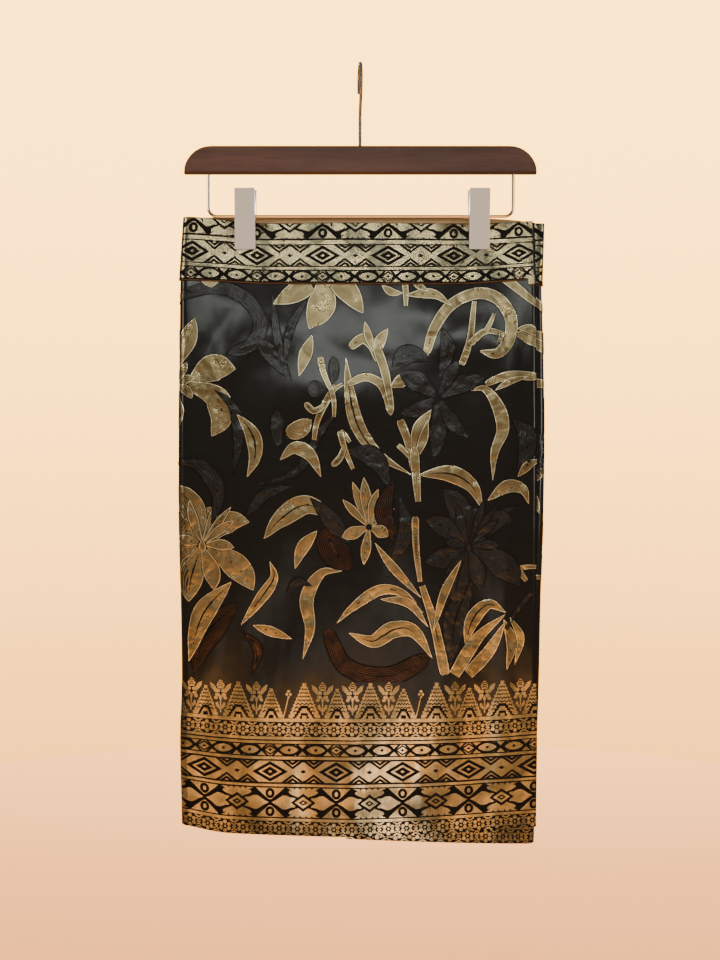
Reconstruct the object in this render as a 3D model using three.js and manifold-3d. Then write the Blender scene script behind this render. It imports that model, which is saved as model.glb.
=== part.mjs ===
// A sampin: the short wrapped hip cloth of Malay dress, in black satin with woven gold motifs,
// hung flat from a wooden clip hanger.
//
// Millimetres, +Z up. The front of the cloth faces -Y and +X is the viewer's right.
// The origin is the inside of the hook's top, where the hook rests on its rail.
//
// The body is one length of cloth wound one and a half times. It starts at a free edge at the
// front's right, runs left over the front, turns the left fold, runs right along the back, turns the
// right fold and ends behind the front. Each stretch is a piece of its own, and so is each stretch of
// the waistband sewn on its outer face. The walls are lofted through sections worked out from the
// tables below.

import * as THREE from "three";
import { mergeVertices } from "three/addons/utils/BufferGeometryUtils.js";
import Module from "manifold-3d";

const wasm = await Module();
wasm.setup();

// Driving dimensions of the cloth
const SEAM_GAP = 0.3;
const BODY_WALL = 1.0;
const BAND_WALL = 1.2;
const FACING_WALL = 1.0;
const BAND_HEIGHT = 65;
const CUT_HEIGHT = 658;
const BORDER_TOP = 534; // down the cut, where the gold border of the hem begins
const BODY_SETBACK = 1.5; // the body's top edge lies this far below the waistband's
const FOLD_REACH = 9; // how far the rounding of a side fold reaches into the cloth
const LAP_STEP = BODY_WALL + BAND_WALL + 2 * SEAM_GAP; // front wall to underlap wall
const BAND_EDGE_SETBACK = 2.5; // the waistband's free end stops short of the body's
const UNDERLAP_END = -15; // X of the hidden end of the wrap
const FACING_INSET = 6; // the facing's ends lie this far inside the side folds

// Sections of the hung cloth, from the top edge down.
// left and right: the side folds; edge: the front's free edge; all X of the body's middle surface.
// foreSide and fore: how far the front stands forward at its sides and at its middle.
// rearSide and rear: the same for the back, to the rear.
const SECTIONS = [
  { z: -164, left: -189.7, edge: 188.5, right: 198.4, foreSide: 1.2, fore: 2.6, rearSide: 5.6, rear: 6.1 },
  { z: -196, left: -191.9, edge: 189.4, right: 197.6, foreSide: 1.2, fore: 2.4, rearSide: 5.4, rear: 5.8 },
  { z: -236, left: -194.2, edge: 190.0, right: 196.5, foreSide: 2.2, fore: 4.6, rearSide: 5.6, rear: 7.4 },
  { z: -308, left: -194.9, edge: 190.5, right: 198.4, foreSide: 3.4, fore: 9.0, rearSide: 6.0, rear: 9.4 },
  { z: -405, left: -196.0, edge: 190.9, right: 199.4, foreSide: 4.8, fore: 12.8, rearSide: 6.6, rear: 11.4 },
  { z: -492, left: -195.7, edge: 190.4, right: 198.2, foreSide: 6.0, fore: 14.6, rearSide: 7.6, rear: 12.8 },
  { z: -579, left: -193.6, edge: 189.8, right: 195.3, foreSide: 7.0, fore: 16.4, rearSide: 8.6, rear: 14.2 },
  { z: -666, left: -192.4, edge: 189.6, right: 193.4, foreSide: 8.0, fore: 18.2, rearSide: 9.6, rear: 15.6 },
  { z: -730, left: -194.1, edge: 190.5, right: 191.0, foreSide: 8.6, fore: 19.6, rearSide: 10.2, rear: 16.6 },
  { z: -796, left: -192.6, edge: 189.7, right: 189.0, foreSide: 9.0, fore: 21.2, rearSide: 10.8, rear: 17.6 },
  { z: -842, left: -191.3, edge: 189.3, right: 187.5, foreSide: 9.0, fore: 22.4, rearSide: 11.0, rear: 18.2 },
];

// Heights of four woven lines across each stretch: the top edge, the waistband's lower edge,
// the top of the hem's border and the hem. The ends of the front ride up, and the wrap is skewed,
// so the back and the underlap hang lower towards the right.
const FRONT_LINES = [
  { x: -197, top: -163.6, seam: -231.4, border: -699.6, hem: -816.7 },
  { x: -180, top: -164.6, seam: -232.4, border: -701.0, hem: -820.8 },
  { x: -150, top: -167.4, seam: -233.6, border: -703.2, hem: -826.2 },
  { x: -107, top: -171.6, seam: -236.0, border: -705.0, hem: -827.4 },
  { x: -16, top: -171.2, seam: -236.8, border: -705.2, hem: -829.4 },
  { x: 32, top: -171.4, seam: -236.8, border: -705.2, hem: -828.3 },
  { x: 112, top: -171.8, seam: -236.2, border: -704.6, hem: -824.8 },
  { x: 150, top: -171.0, seam: -234.0, border: -703.4, hem: -822.6 },
  { x: 191, top: -168.6, seam: -231.6, border: -700.9, hem: -821.5 },
];
const BACK_LINES = [
  { x: -197, top: -163.6, seam: -231.4, border: -699.6, hem: -816.7 },
  { x: -100, top: -163.8, seam: -232.0, border: -704.0, hem: -823.0 },
  { x: 0, top: -164.0, seam: -232.8, border: -708.0, hem: -829.0 },
  { x: 100, top: -164.2, seam: -233.8, border: -712.0, hem: -835.0 },
  { x: 160, top: -165.8, seam: -236.0, border: -714.4, hem: -839.0 },
  { x: 200, top: -171.2, seam: -238.0, border: -716.0, hem: -841.0 },
];
const UNDERLAP_LINES = [
  { x: -15, top: -172.6, seam: -237.6, border: -710.0, hem: -832.0 },
  { x: 21, top: -172.8, seam: -237.8, border: -711.0, hem: -833.6 },
  { x: 118, top: -173.2, seam: -238.0, border: -714.0, hem: -837.9 },
  { x: 200, top: -171.2, seam: -238.0, border: -716.0, hem: -841.0 },
];

// Large soft folds of the hung cloth. depth is positive where the cloth swells outwards.
// turn is the angle of the fold's run from upright, in degrees, leaning right at its top.
const FRONT_FOLDS = [
  { x: -158, z: -770, run: 74, width: 17, turn: 3, depth: -4.5 },
  { x: -104, z: -800, run: 80, width: 26, turn: -6, depth: 1.8 },
  { x: 84, z: -706, run: 96, width: 26, turn: 24, depth: 2.6 },
  { x: 128, z: -620, run: 120, width: 30, turn: -10, depth: -2.4 },
  { x: -22, z: -356, run: 96, width: 34, turn: 90, depth: 2.2 },
  { x: -120, z: -300, run: 80, width: 26, turn: 62, depth: 1.6 },
  { x: 122, z: -300, run: 80, width: 26, turn: -62, depth: 1.6 },
  { x: -60, z: -560, run: 110, width: 34, turn: 34, depth: -2.0 },
  { x: 30, z: -480, run: 120, width: 36, turn: -28, depth: 1.6 },
];
const BACK_FOLDS = [
  { x: -120, z: -700, run: 150, width: 24, turn: -4, depth: 3.0 },
  { x: -36, z: -740, run: 120, width: 22, turn: 3, depth: -3.2 },
  { x: 62, z: -660, run: 170, width: 27, turn: -5, depth: 3.4 },
  { x: 138, z: -720, run: 130, width: 20, turn: 5, depth: -2.8 },
  { x: 0, z: -340, run: 110, width: 32, turn: 90, depth: 2.0 },
  { x: -96, z: -450, run: 120, width: 30, turn: -22, depth: -2.0 },
];

// Driving dimensions of the hanger
const HOOK_WIRE = 3.5;
const HOOK_BIGHT = 17; // inside radius of the hook
const HOOK_SWIVEL = 4.3; // degrees, the hook's turn in the bar
const HOOK_TAIL = -28; // degrees below level, where the hook's tip ends
const NECK_TOP = -60; // where the straight shank ends
const NECK_EASE = 14;
const BAR_LENGTH = 381;
const BAR_CENTRE = 0.4;
const BAR_TOP = -88.3;
const BAR_BOTTOM = -117.6;
const BAR_THICKNESS = 13;
const BAR_SHOULDER = 27; // how far the rounding of the bar's ends reaches in
const BAR_BEVEL = 1.6;
const SOCKET_DEPTH = 14;
const SOCKET_PLAY = 0.3;
const FRAME_WIRE = 3.4;
const FRAME_LEFT = -164.4;
const FRAME_RIGHT = 166;
const FRAME_LEVEL = -163.7;
const FRAME_CORNER = 9.7;

// Driving dimensions of the two clips
const CLIP_CENTRES = { left: -124.0, right: 128.9 };
const CLIP_WIDTH = 22;
const CLIP_TOP = -135.4;
const CLIP_BOTTOM = -199.5;
const CLIP_PLATE = 1.2;
const JAW_FRONT = -2.8; // Y of the front plate's inner face at its lower end
const JAW_BACK = 7.2;
const HANDLE_FRONT = -13; // Y of the front plate's inner face at its upper end
const HANDLE_BACK = 15;
const BACK_RISE = 3.5; // how much taller the back plates' handles are
const EAR_PLATE = 1.0;
const EAR_RADIUS = 3.3; // round the wire
const EAR_LOW = -161.8; // the lower end of an ear where it meets its plate
const EAR_HIGH = -141;
const EAR_FACETS = 7; // facets of each half of an ear's eye
const WIRE_PLAY = 0.25;
const SPRING_RADIUS = 3.2;
const JAW_HEIGHT = -194; // where the jaws press the cloth
const PINCH_FRONT = 0.5;
const PINCH_BACK = 4.9;

const FINISHES = {
  satin: { color: 0x1d1c1e, roughness: 0.42, metalness: 0.0 },
  band: { color: 0x8d8160, roughness: 0.45, metalness: 0.3 },
  facing: { color: 0xebbe87, roughness: 0.8, metalness: 0.0 },
  wood: { color: 0x5b3a2c, roughness: 0.45, metalness: 0.0 },
  wire: { color: 0xc4b6a2, roughness: 0.22, metalness: 1.0 },
  plate: { color: 0xd9d6cf, roughness: 0.3, metalness: 0.9 },
};

const group = new THREE.Group();

function addPiece(name, geometry, finish) {
  const piece = new THREE.Mesh(geometry, new THREE.MeshStandardMaterial(FINISHES[finish]));
  piece.name = name;
  group.add(piece);
  return piece;
}

function smooth(t) {
  const s = THREE.MathUtils.clamp(t, 0, 1);
  return s * s * (3 - 2 * s);
}

// Reads a column of a table at a place along its key, on a smooth curve through the rows.
function readTable(table, key, column, place) {
  const rows = table[0][key] < table[table.length - 1][key] ? table : [...table].reverse();
  const last = rows.length - 1;
  if (place <= rows[0][key]) return rows[0][column];
  if (place >= rows[last][key]) return rows[last][column];
  let i = 0;
  while (rows[i + 1][key] < place) i += 1;
  const slope = (a, b) => (rows[b][column] - rows[a][column]) / (rows[b][key] - rows[a][key]);
  const span = rows[i + 1][key] - rows[i][key];
  const t = (place - rows[i][key]) / span;
  const startSlope = slope(Math.max(i - 1, 0), i + 1) * span;
  const endSlope = slope(i, Math.min(i + 2, last)) * span;
  const t2 = t * t;
  const t3 = t2 * t;
  return (
    (2 * t3 - 3 * t2 + 1) * rows[i][column] +
    (t3 - 2 * t2 + t) * startSlope +
    (3 * t2 - 2 * t3) * rows[i + 1][column] +
    (t3 - t2) * endSlope
  );
}

const section = (column, z) => readTable(SECTIONS, "z", column, z);

// Sum of the large folds at a place on a face of the cloth.
function foldDepth(folds, x, z) {
  let depth = 0;
  for (const fold of folds) {
    const turn = THREE.MathUtils.degToRad(fold.turn);
    const across = (x - fold.x) * Math.cos(turn) - (z - fold.z) * Math.sin(turn);
    const along = (x - fold.x) * Math.sin(turn) + (z - fold.z) * Math.cos(turn);
    depth += fold.depth * Math.exp(-((across / fold.width) ** 2) - (along / fold.run) ** 2);
  }
  return depth;
}

// How firmly the jaws of a clip hold the cloth at a place, from 0 to 1.
function pinch(x, z) {
  const SIDE_EASE = 42;
  const UP_EASE = 26;
  const DOWN_EASE = 60;
  const FIRM_HEIGHT = 7;
  const rise = z - JAW_HEIGHT;
  const ease = rise > 0 ? UP_EASE : DOWN_EASE;
  const level = 1 - smooth((Math.abs(rise) - FIRM_HEIGHT) / ease);
  let grip = 0;
  for (const centre of Object.values(CLIP_CENTRES)) {
    const side = Math.abs(x - centre) - CLIP_WIDTH / 2 - 1;
    grip = Math.max(grip, level * (1 - smooth(side / SIDE_EASE)));
  }
  return grip;
}

// 0 at the side folds and 1 at the middle of the cloth.
function crown(x, left, right) {
  const t = THREE.MathUtils.clamp((x - left) / (right - left), 0, 1);
  return Math.sin(Math.PI * t) ** 0.8;
}

function frontDepth(x, z) {
  const side = section("foreSide", z);
  const swell = crown(x, section("left", z), section("right", z));
  const loose = side + (section("fore", z) - side) * swell + foldDepth(FRONT_FOLDS, x, z) * swell;
  return THREE.MathUtils.lerp(loose, PINCH_FRONT, pinch(x, z));
}

function backDepth(x, z) {
  const side = section("rearSide", z);
  const swell = crown(x, section("left", z), section("right", z));
  const loose = side + (section("rear", z) - side) * swell + foldDepth(BACK_FOLDS, x, z) * swell;
  return THREE.MathUtils.lerp(loose, PINCH_BACK, pinch(x, z));
}

// Height of a place on the cloth. down is measured along the cut, from the waistband's top edge.
function lineHeight(lines, x, down) {
  const at = (column) => readTable(lines, "x", column, x);
  if (down <= BAND_HEIGHT) return THREE.MathUtils.lerp(at("top"), at("seam"), down / BAND_HEIGHT);
  if (down <= BORDER_TOP) {
    const t = (down - BAND_HEIGHT) / (BORDER_TOP - BAND_HEIGHT);
    return THREE.MathUtils.lerp(at("seam"), at("border"), t);
  }
  const t = (down - BORDER_TOP) / (CUT_HEIGHT - BORDER_TOP);
  return THREE.MathUtils.lerp(at("border"), at("hem"), t);
}

// A station is a place along the wrap: a stretch and either an X (flat) or a turn (in a fold).
// Its point is on the body's middle surface, as x, y and z.
const STRETCHES = {
  front(x, down) {
    const z = lineHeight(FRONT_LINES, x, down);
    return [x, -frontDepth(x, z), z];
  },
  back(x, down) {
    const z = lineHeight(BACK_LINES, x, down);
    return [x, backDepth(x, z), z];
  },
  underlap(x, down) {
    const z = lineHeight(UNDERLAP_LINES, x, down);
    return [x, -frontDepth(x, z) + LAP_STEP, z];
  },
};

// Half-round fold between two stretches. turn runs from 0 (on the first) to 1 (on the second), and
// trim, in mm along the fold, shortens the first stretch (below zero) or the second (above zero).
function foldPoint(first, second, side, turn, down, trim = 0) {
  const start = STRETCHES[first](side * 1000, down);
  const limit = section(side < 0 ? "left" : "right", start[2]);
  const root = limit - side * FOLD_REACH;
  const [, yFirst, zFirst] = STRETCHES[first](root, down);
  const [, ySecond, zSecond] = STRETCHES[second](root, down);
  const angle = Math.PI * turn + (2 * trim) / Math.abs(ySecond - yFirst);
  const x = root + side * FOLD_REACH * Math.sin(angle);
  const y = (yFirst + ySecond) / 2 + ((yFirst - ySecond) / 2) * Math.cos(angle);
  return [x, y, THREE.MathUtils.lerp(zFirst, zSecond, smooth(turn))];
}

const flat = (stretch, x) => (down) => STRETCHES[stretch](x, down);
const left = (turn) => (down) => foldPoint("front", "back", -1, turn, down);
const right = (turn) => (down) => foldPoint("back", "underlap", 1, turn, down);

// The two sides of the seam gap at the middle of a fold.
const SEAM_TRIM = 0.6 * SEAM_GAP;
const leftEnd = (down) => foldPoint("front", "back", -1, 0.5, down, -SEAM_TRIM);
const leftStart = (down) => foldPoint("front", "back", -1, 0.5, down, SEAM_TRIM);
const rightEnd = (down) => foldPoint("back", "underlap", 1, 0.5, down, -SEAM_TRIM);
const rightStart = (down) => foldPoint("back", "underlap", 1, 0.5, down, SEAM_TRIM);

function edgeStation(setback) {
  return (down) => {
    const z = lineHeight(FRONT_LINES, 191, down);
    return STRETCHES.front(section("edge", z) - setback, down);
  };
}

// Evenly spread values from one end to the other, both included.
function spread(from, to, count) {
  return Array.from({ length: count }, (_, i) => THREE.MathUtils.lerp(from, to, i / (count - 1)));
}

// X places on a face, with a column at each side of a clip and one at its middle.
function facePlaces(from, to, spacing) {
  const half = CLIP_WIDTH / 2 + 1;
  const fixed = Object.values(CLIP_CENTRES).flatMap((centre) => [centre - half, centre, centre + half]);
  const low = Math.min(from, to);
  const high = Math.max(from, to);
  const marks = [low, ...fixed.filter((x) => x > low + 4 && x < high - 4), high];
  const places = [];
  for (let i = 0; i + 1 < marks.length; i += 1) {
    const count = Math.max(1, Math.round((marks[i + 1] - marks[i]) / spacing));
    places.push(...spread(marks[i], marks[i + 1], count + 1).slice(0, -1));
  }
  places.push(high);
  return from < to ? places : places.reverse();
}

const FACE_SPACING = 24;
const FACE_LEFT = -184;
const FACE_RIGHT = 180;
const HALF_TURN = [0.12, 0.27, 0.4];
const OTHER_HALF = HALF_TURN.map((turn) => 1 - turn).reverse();

function frontStations(setback) {
  const faces = facePlaces(178, FACE_LEFT, FACE_SPACING).map((x) => flat("front", x));
  const stations = [edgeStation(setback), ...faces, ...HALF_TURN.map(left), leftEnd];
  return { trail: left(OTHER_HALF[0]), stations };
}

function backStations() {
  const faces = facePlaces(FACE_LEFT, FACE_RIGHT, FACE_SPACING).map((x) => flat("back", x));
  const stations = [leftStart, ...OTHER_HALF.map(left), ...faces, ...HALF_TURN.map(right), rightEnd];
  return { lead: left(HALF_TURN.at(-1)), trail: right(OTHER_HALF[0]), stations };
}

function underlapStations() {
  const faces = facePlaces(FACE_RIGHT - 2, UNDERLAP_END, FACE_SPACING).map((x) => flat("underlap", x));
  return { lead: right(HALF_TURN.at(-1)), stations: [rightStart, ...OTHER_HALF.map(right), ...faces] };
}

// A closed wall on the stations of a stretch and depths down the cut. The wall's middle lies at
// offset from the body's middle surface, towards the cloth's outer face. lead and trail are the
// next stations past the seams, and only set the direction of the wall's ends.
function clothWall({ lead, stations, trail }, downs, offset, thickness) {
  const columns = stations.length;
  const rows = downs.length;
  const positions = [];
  for (const face of [offset + thickness / 2, offset - thickness / 2]) {
    for (const down of downs) {
      const line = stations.map((station) => station(down));
      const ends = { [-1]: lead?.(down) ?? line[0], [columns]: trail?.(down) ?? line[columns - 1] };
      line.forEach(([x, y, z], i) => {
        const before = ends[i - 1] ?? line[i - 1];
        const after = ends[i + 1] ?? line[i + 1];
        const run = Math.hypot(after[0] - before[0], after[1] - before[1]);
        const normalX = -(after[1] - before[1]) / run;
        const normalY = (after[0] - before[0]) / run;
        positions.push(x + normalX * face, y + normalY * face, z);
      });
    }
  }
  const at = (face, row, column) => (face * rows + row) * columns + column;
  const indices = [];
  const quad = (a, b, c, d) => indices.push(a, b, c, a, c, d);
  for (let row = 0; row + 1 < rows; row += 1) {
    for (let column = 0; column + 1 < columns; column += 1) {
      const [here, next] = [column, column + 1];
      quad(at(0, row, here), at(0, row, next), at(0, row + 1, next), at(0, row + 1, here));
      quad(at(1, row, here), at(1, row + 1, here), at(1, row + 1, next), at(1, row, next));
    }
    quad(at(0, row, 0), at(0, row + 1, 0), at(1, row + 1, 0), at(1, row, 0));
    const end = columns - 1;
    quad(at(0, row, end), at(1, row, end), at(1, row + 1, end), at(0, row + 1, end));
  }
  for (let column = 0; column + 1 < columns; column += 1) {
    const low = rows - 1;
    quad(at(0, 0, column), at(1, 0, column), at(1, 0, column + 1), at(0, 0, column + 1));
    quad(at(0, low, column), at(0, low, column + 1), at(1, low, column + 1), at(1, low, column));
  }
  const geometry = new THREE.BufferGeometry();
  geometry.setAttribute("position", new THREE.Float32BufferAttribute(positions, 3));
  geometry.setIndex(indices);
  return facingOut(geometry);
}

// Turns every triangle over where the closed shape's faces point inwards.
function facingOut(geometry) {
  const p = geometry.attributes.position;
  const index = geometry.index.array;
  const corner = [new THREE.Vector3(), new THREE.Vector3(), new THREE.Vector3()];
  let volume = 0;
  for (let i = 0; i < index.length; i += 3) {
    corner.forEach((v, k) => v.fromBufferAttribute(p, index[i + k]));
    volume += corner[0].dot(corner[1].clone().cross(corner[2]));
  }
  for (let i = 0; volume < 0 && i < index.length; i += 3) {
    [index[i], index[i + 1]] = [index[i + 1], index[i]];
  }
  return geometry;
}

// Depths down the cut at which the walls have a row.
const BAND_DOWNS = [0, 13, 22, 34, 48, BAND_HEIGHT];
const BODY_DOWNS = [
  BODY_SETBACK, ...BAND_DOWNS.slice(1),
  94, 132, 176, 226, 280, 340, 400, 460, BORDER_TOP, 576, 618, CUT_HEIGHT,
];

function buildCloth() {
  const bandOffset = BODY_WALL / 2 + SEAM_GAP + BAND_WALL / 2;
  const facingOffset = -(BODY_WALL / 2 + SEAM_GAP + FACING_WALL / 2);
  const insetPlaces = facePlaces(FACE_LEFT + FACING_INSET, FACE_RIGHT - FACING_INSET, FACE_SPACING);
  const inset = { stations: insetPlaces.map((x) => flat("back", x)) };
  const body = (stretch) => clothWall(stretch, BODY_DOWNS, 0, BODY_WALL);
  const band = (stretch) => clothWall(stretch, BAND_DOWNS, bandOffset, BAND_WALL);
  addPiece("body_front", body(frontStations(0)), "satin");
  addPiece("body_back", body(backStations()), "satin");
  addPiece("body_underlap", body(underlapStations()), "satin");
  addPiece("waistband_front", band(frontStations(BAND_EDGE_SETBACK)), "band");
  addPiece("waistband_back", band(backStations()), "band");
  addPiece("waistband_underlap", band(underlapStations()), "band");
  addPiece("waistband_facing", clothWall(inset, BAND_DOWNS, facingOffset, FACING_WALL), "facing");
}

// A route whose stations are its own points, so that a sweep along it has a section at each one.
class Route extends THREE.Curve {
  constructor(points) {
    super();
    this.points = points;
  }

  getPoint(t, target = new THREE.Vector3()) {
    const place = t * (this.points.length - 1);
    const i = Math.min(Math.floor(place), this.points.length - 2);
    return target.lerpVectors(this.points[i], this.points[i + 1], place - i);
  }

  getUtoTmapping(u) {
    return u;
  }

  getTangent(t, target = new THREE.Vector3()) {
    const i = Math.round(t * (this.points.length - 1));
    const here = this.points[i];
    const before = this.points[Math.max(i - 1, 0)];
    const after = this.points[Math.min(i + 1, this.points.length - 1)];
    const arriving = here.clone().sub(before).normalize();
    const leaving = after.clone().sub(here).normalize();
    return target.addVectors(arriving, leaving).normalize();
  }
}

function roundSection(radius, sides) {
  const corners = spread(0, 2 * Math.PI, sides + 1).slice(0, -1);
  return new THREE.Shape(corners.map((a) => new THREE.Vector2(radius * Math.cos(a), radius * Math.sin(a))));
}

function wireAlong(points, diameter, sides) {
  const route = new Route(points);
  return new THREE.ExtrudeGeometry(roundSection(diameter / 2, sides), {
    steps: points.length - 1,
    extrudePath: route,
  });
}

// Points of an arc in the plane of two unit directions, both ends included.
function arcPoints(centre, radius, directionA, directionB, fromDegrees, toDegrees, count) {
  return spread(fromDegrees, toDegrees, count).map((degrees) => {
    const angle = THREE.MathUtils.degToRad(degrees);
    return centre
      .clone()
      .addScaledVector(directionA, radius * Math.cos(angle))
      .addScaledVector(directionB, radius * Math.sin(angle));
  });
}

function solid(geometry) {
  const bare = geometry.clone();
  bare.deleteAttribute("normal");
  bare.deleteAttribute("uv");
  const merged = mergeVertices(bare, 1e-4);
  const vertProperties = new Float32Array(merged.attributes.position.array);
  const triVerts = new Uint32Array(merged.index.array);
  return new wasm.Manifold(new wasm.Mesh({ numProp: 3, vertProperties, triVerts }));
}

function surfaceOf(manifold) {
  const mesh = manifold.getMesh();
  const geometry = new THREE.BufferGeometry();
  geometry.setAttribute("position", new THREE.Float32BufferAttribute(mesh.vertProperties, 3));
  geometry.setIndex(Array.from(mesh.triVerts));
  return geometry;
}

function buildHook() {
  const UP = new THREE.Vector3(0, 0, 1);
  const BACK = new THREE.Vector3(0, 1, 0);
  const radius = HOOK_BIGHT + HOOK_WIRE / 2;
  const centre = new THREE.Vector3(0, 0, -HOOK_BIGHT);
  const neck = new THREE.CubicBezierCurve3(
    new THREE.Vector3(0, 0, NECK_TOP),
    new THREE.Vector3(0, 0, NECK_TOP + NECK_EASE),
    new THREE.Vector3(0, -radius, -HOOK_BIGHT - NECK_EASE - 6),
    new THREE.Vector3(0, -radius, -HOOK_BIGHT),
  ).getPoints(9);
  const bend = arcPoints(centre, radius, BACK, UP, 180, HOOK_TAIL, 18).slice(1);
  const foot = new THREE.Vector3(0, 0, BAR_TOP - SOCKET_DEPTH + SOCKET_PLAY);
  const geometry = wireAlong([foot, ...neck, ...bend], HOOK_WIRE, 10);
  geometry.rotateZ(THREE.MathUtils.degToRad(HOOK_SWIVEL));
  addPiece("hanger_hook", geometry, "wire");
}

function buildBar() {
  const half = BAR_LENGTH / 2 - BAR_BEVEL;
  const top = BAR_TOP - BAR_BEVEL;
  const bottom = BAR_BOTTOM + BAR_BEVEL;
  const height = top - bottom;
  const outline = new THREE.Shape();
  outline.moveTo(-half, bottom);
  outline.lineTo(half, bottom);
  const rise = bottom + height * 0.5;
  const brow = half - BAR_SHOULDER * 0.45;
  outline.bezierCurveTo(half, rise, brow, top, half - BAR_SHOULDER, top);
  outline.lineTo(-half + BAR_SHOULDER, top);
  outline.bezierCurveTo(-brow, top, -half, rise, -half, bottom);
  const geometry = new THREE.ExtrudeGeometry(outline, {
    depth: BAR_THICKNESS - 2 * BAR_BEVEL,
    bevelThickness: BAR_BEVEL,
    bevelSize: BAR_BEVEL,
    bevelSegments: 3,
    curveSegments: 8,
  });
  geometry.rotateX(Math.PI / 2);
  geometry.translate(BAR_CENTRE, BAR_THICKNESS / 2 - BAR_BEVEL, 0);
  let bar = solid(geometry);
  const sockets = [
    { x: 0, z: BAR_TOP, bore: HOOK_WIRE },
    { x: FRAME_LEFT, z: BAR_BOTTOM, bore: FRAME_WIRE },
    { x: FRAME_RIGHT, z: BAR_BOTTOM, bore: FRAME_WIRE },
  ];
  for (const socket of sockets) {
    const drill = new THREE.CylinderGeometry(
      socket.bore / 2 + SOCKET_PLAY, socket.bore / 2 + SOCKET_PLAY, 2 * SOCKET_DEPTH, 12,
    );
    drill.rotateX(Math.PI / 2);
    drill.translate(socket.x, 0, socket.z);
    bar = bar.subtract(solid(drill));
  }
  addPiece("hanger_bar", surfaceOf(bar), "wood");
}

function buildFrameWire() {
  const RIGHT = new THREE.Vector3(1, 0, 0);
  const UP = new THREE.Vector3(0, 0, 1);
  const head = BAR_BOTTOM + SOCKET_DEPTH - SOCKET_PLAY;
  const cornerHeight = FRAME_LEVEL + FRAME_CORNER;
  const leftCentre = new THREE.Vector3(FRAME_LEFT + FRAME_CORNER, 0, cornerHeight);
  const rightCentre = new THREE.Vector3(FRAME_RIGHT - FRAME_CORNER, 0, cornerHeight);
  const points = [
    new THREE.Vector3(FRAME_LEFT, 0, head),
    ...arcPoints(leftCentre, FRAME_CORNER, RIGHT, UP, 180, 270, 7),
    ...arcPoints(rightCentre, FRAME_CORNER, RIGHT, UP, 270, 360, 7),
    new THREE.Vector3(FRAME_RIGHT, 0, head),
  ];
  addPiece("hanger_wire", wireAlong(points, FRAME_WIRE, 8), "wire");
}

// One plate of a clip with its two ears. The plate leans from the jaw to the handle, and each ear
// is a flat web from the plate's upper half to an eye round the wire.
function clipPlate(jaw, handle, top, earInset) {
  const outward = Math.sign(handle);
  const slope = (handle - jaw) / (top - CLIP_BOTTOM);
  const innerAt = (z) => jaw + slope * (z - CLIP_BOTTOM);
  const profile = new THREE.Shape([
    new THREE.Vector2(jaw, CLIP_BOTTOM),
    new THREE.Vector2(handle, top),
    new THREE.Vector2(handle + outward * CLIP_PLATE, top),
    new THREE.Vector2(jaw + outward * CLIP_PLATE, CLIP_BOTTOM),
  ]);
  const alongX = (shape, width, start) => {
    const settings = { depth: width, bevelEnabled: false, curveSegments: EAR_FACETS };
    const geometry = new THREE.ExtrudeGeometry(shape, settings);
    geometry.rotateX(Math.PI / 2);
    geometry.rotateZ(Math.PI / 2);
    geometry.translate(start, 0, 0);
    return solid(geometry);
  };
  let plate = alongX(profile, CLIP_WIDTH, -CLIP_WIDTH / 2);
  const bite = CLIP_PLATE / 2;
  const web = new THREE.Shape([
    new THREE.Vector2(-outward * 1.5, FRAME_LEVEL - 1),
    new THREE.Vector2(outward * (EAR_RADIUS - 0.6), FRAME_LEVEL - 1),
    new THREE.Vector2(innerAt(EAR_LOW + 4) + outward * bite, EAR_LOW + 4),
    new THREE.Vector2(innerAt(EAR_HIGH) + outward * bite, EAR_HIGH),
    new THREE.Vector2(-outward * 1.5, FRAME_LEVEL + EAR_RADIUS - 1),
  ]);
  const eye = new THREE.Shape();
  eye.absarc(0, FRAME_LEVEL, EAR_RADIUS, 0, 2 * Math.PI, false);
  const bore = new THREE.Shape();
  bore.absarc(0, FRAME_LEVEL, FRAME_WIRE / 2 + WIRE_PLAY, 0, 2 * Math.PI, false);
  for (const side of [-1, 1]) {
    const outer = side * (CLIP_WIDTH / 2 - earInset);
    const start = Math.min(outer, outer - side * EAR_PLATE);
    plate = plate.add(alongX(web, EAR_PLATE, start)).add(alongX(eye, EAR_PLATE, start));
  }
  plate = plate.subtract(alongX(bore, CLIP_WIDTH + 2, -CLIP_WIDTH / 2 - 1));
  return surfaceOf(plate);
}

function clipSpring() {
  const inner = FRAME_WIRE / 2 + SOCKET_PLAY;
  const length = CLIP_WIDTH - 2 * (2 * EAR_PLATE + 2 * SOCKET_PLAY);
  const profile = [
    new THREE.Vector2(inner, -length / 2),
    new THREE.Vector2(SPRING_RADIUS, -length / 2),
    new THREE.Vector2(SPRING_RADIUS, length / 2),
    new THREE.Vector2(inner, length / 2),
    new THREE.Vector2(inner, -length / 2),
  ];
  const geometry = new THREE.LatheGeometry(profile, 12);
  geometry.rotateZ(Math.PI / 2);
  return geometry;
}

function buildClips() {
  for (const [side, centre] of Object.entries(CLIP_CENTRES)) {
    const innerEars = EAR_PLATE + SOCKET_PLAY;
    const frontPlate = clipPlate(JAW_FRONT, HANDLE_FRONT, CLIP_TOP, 0);
    const backPlate = clipPlate(JAW_BACK, HANDLE_BACK, CLIP_TOP + BACK_RISE, innerEars);
    const front = addPiece(`clip_${side}_front`, frontPlate, "plate");
    const back = addPiece(`clip_${side}_back`, backPlate, "plate");
    const spring = addPiece(`clip_${side}_spring`, clipSpring(), "wire");
    front.position.x = centre;
    back.position.x = centre;
    spring.position.set(centre, 0, FRAME_LEVEL);
  }
}

buildHook();
buildBar();
buildFrameWire();
buildClips();
buildCloth();

export default group;
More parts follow.
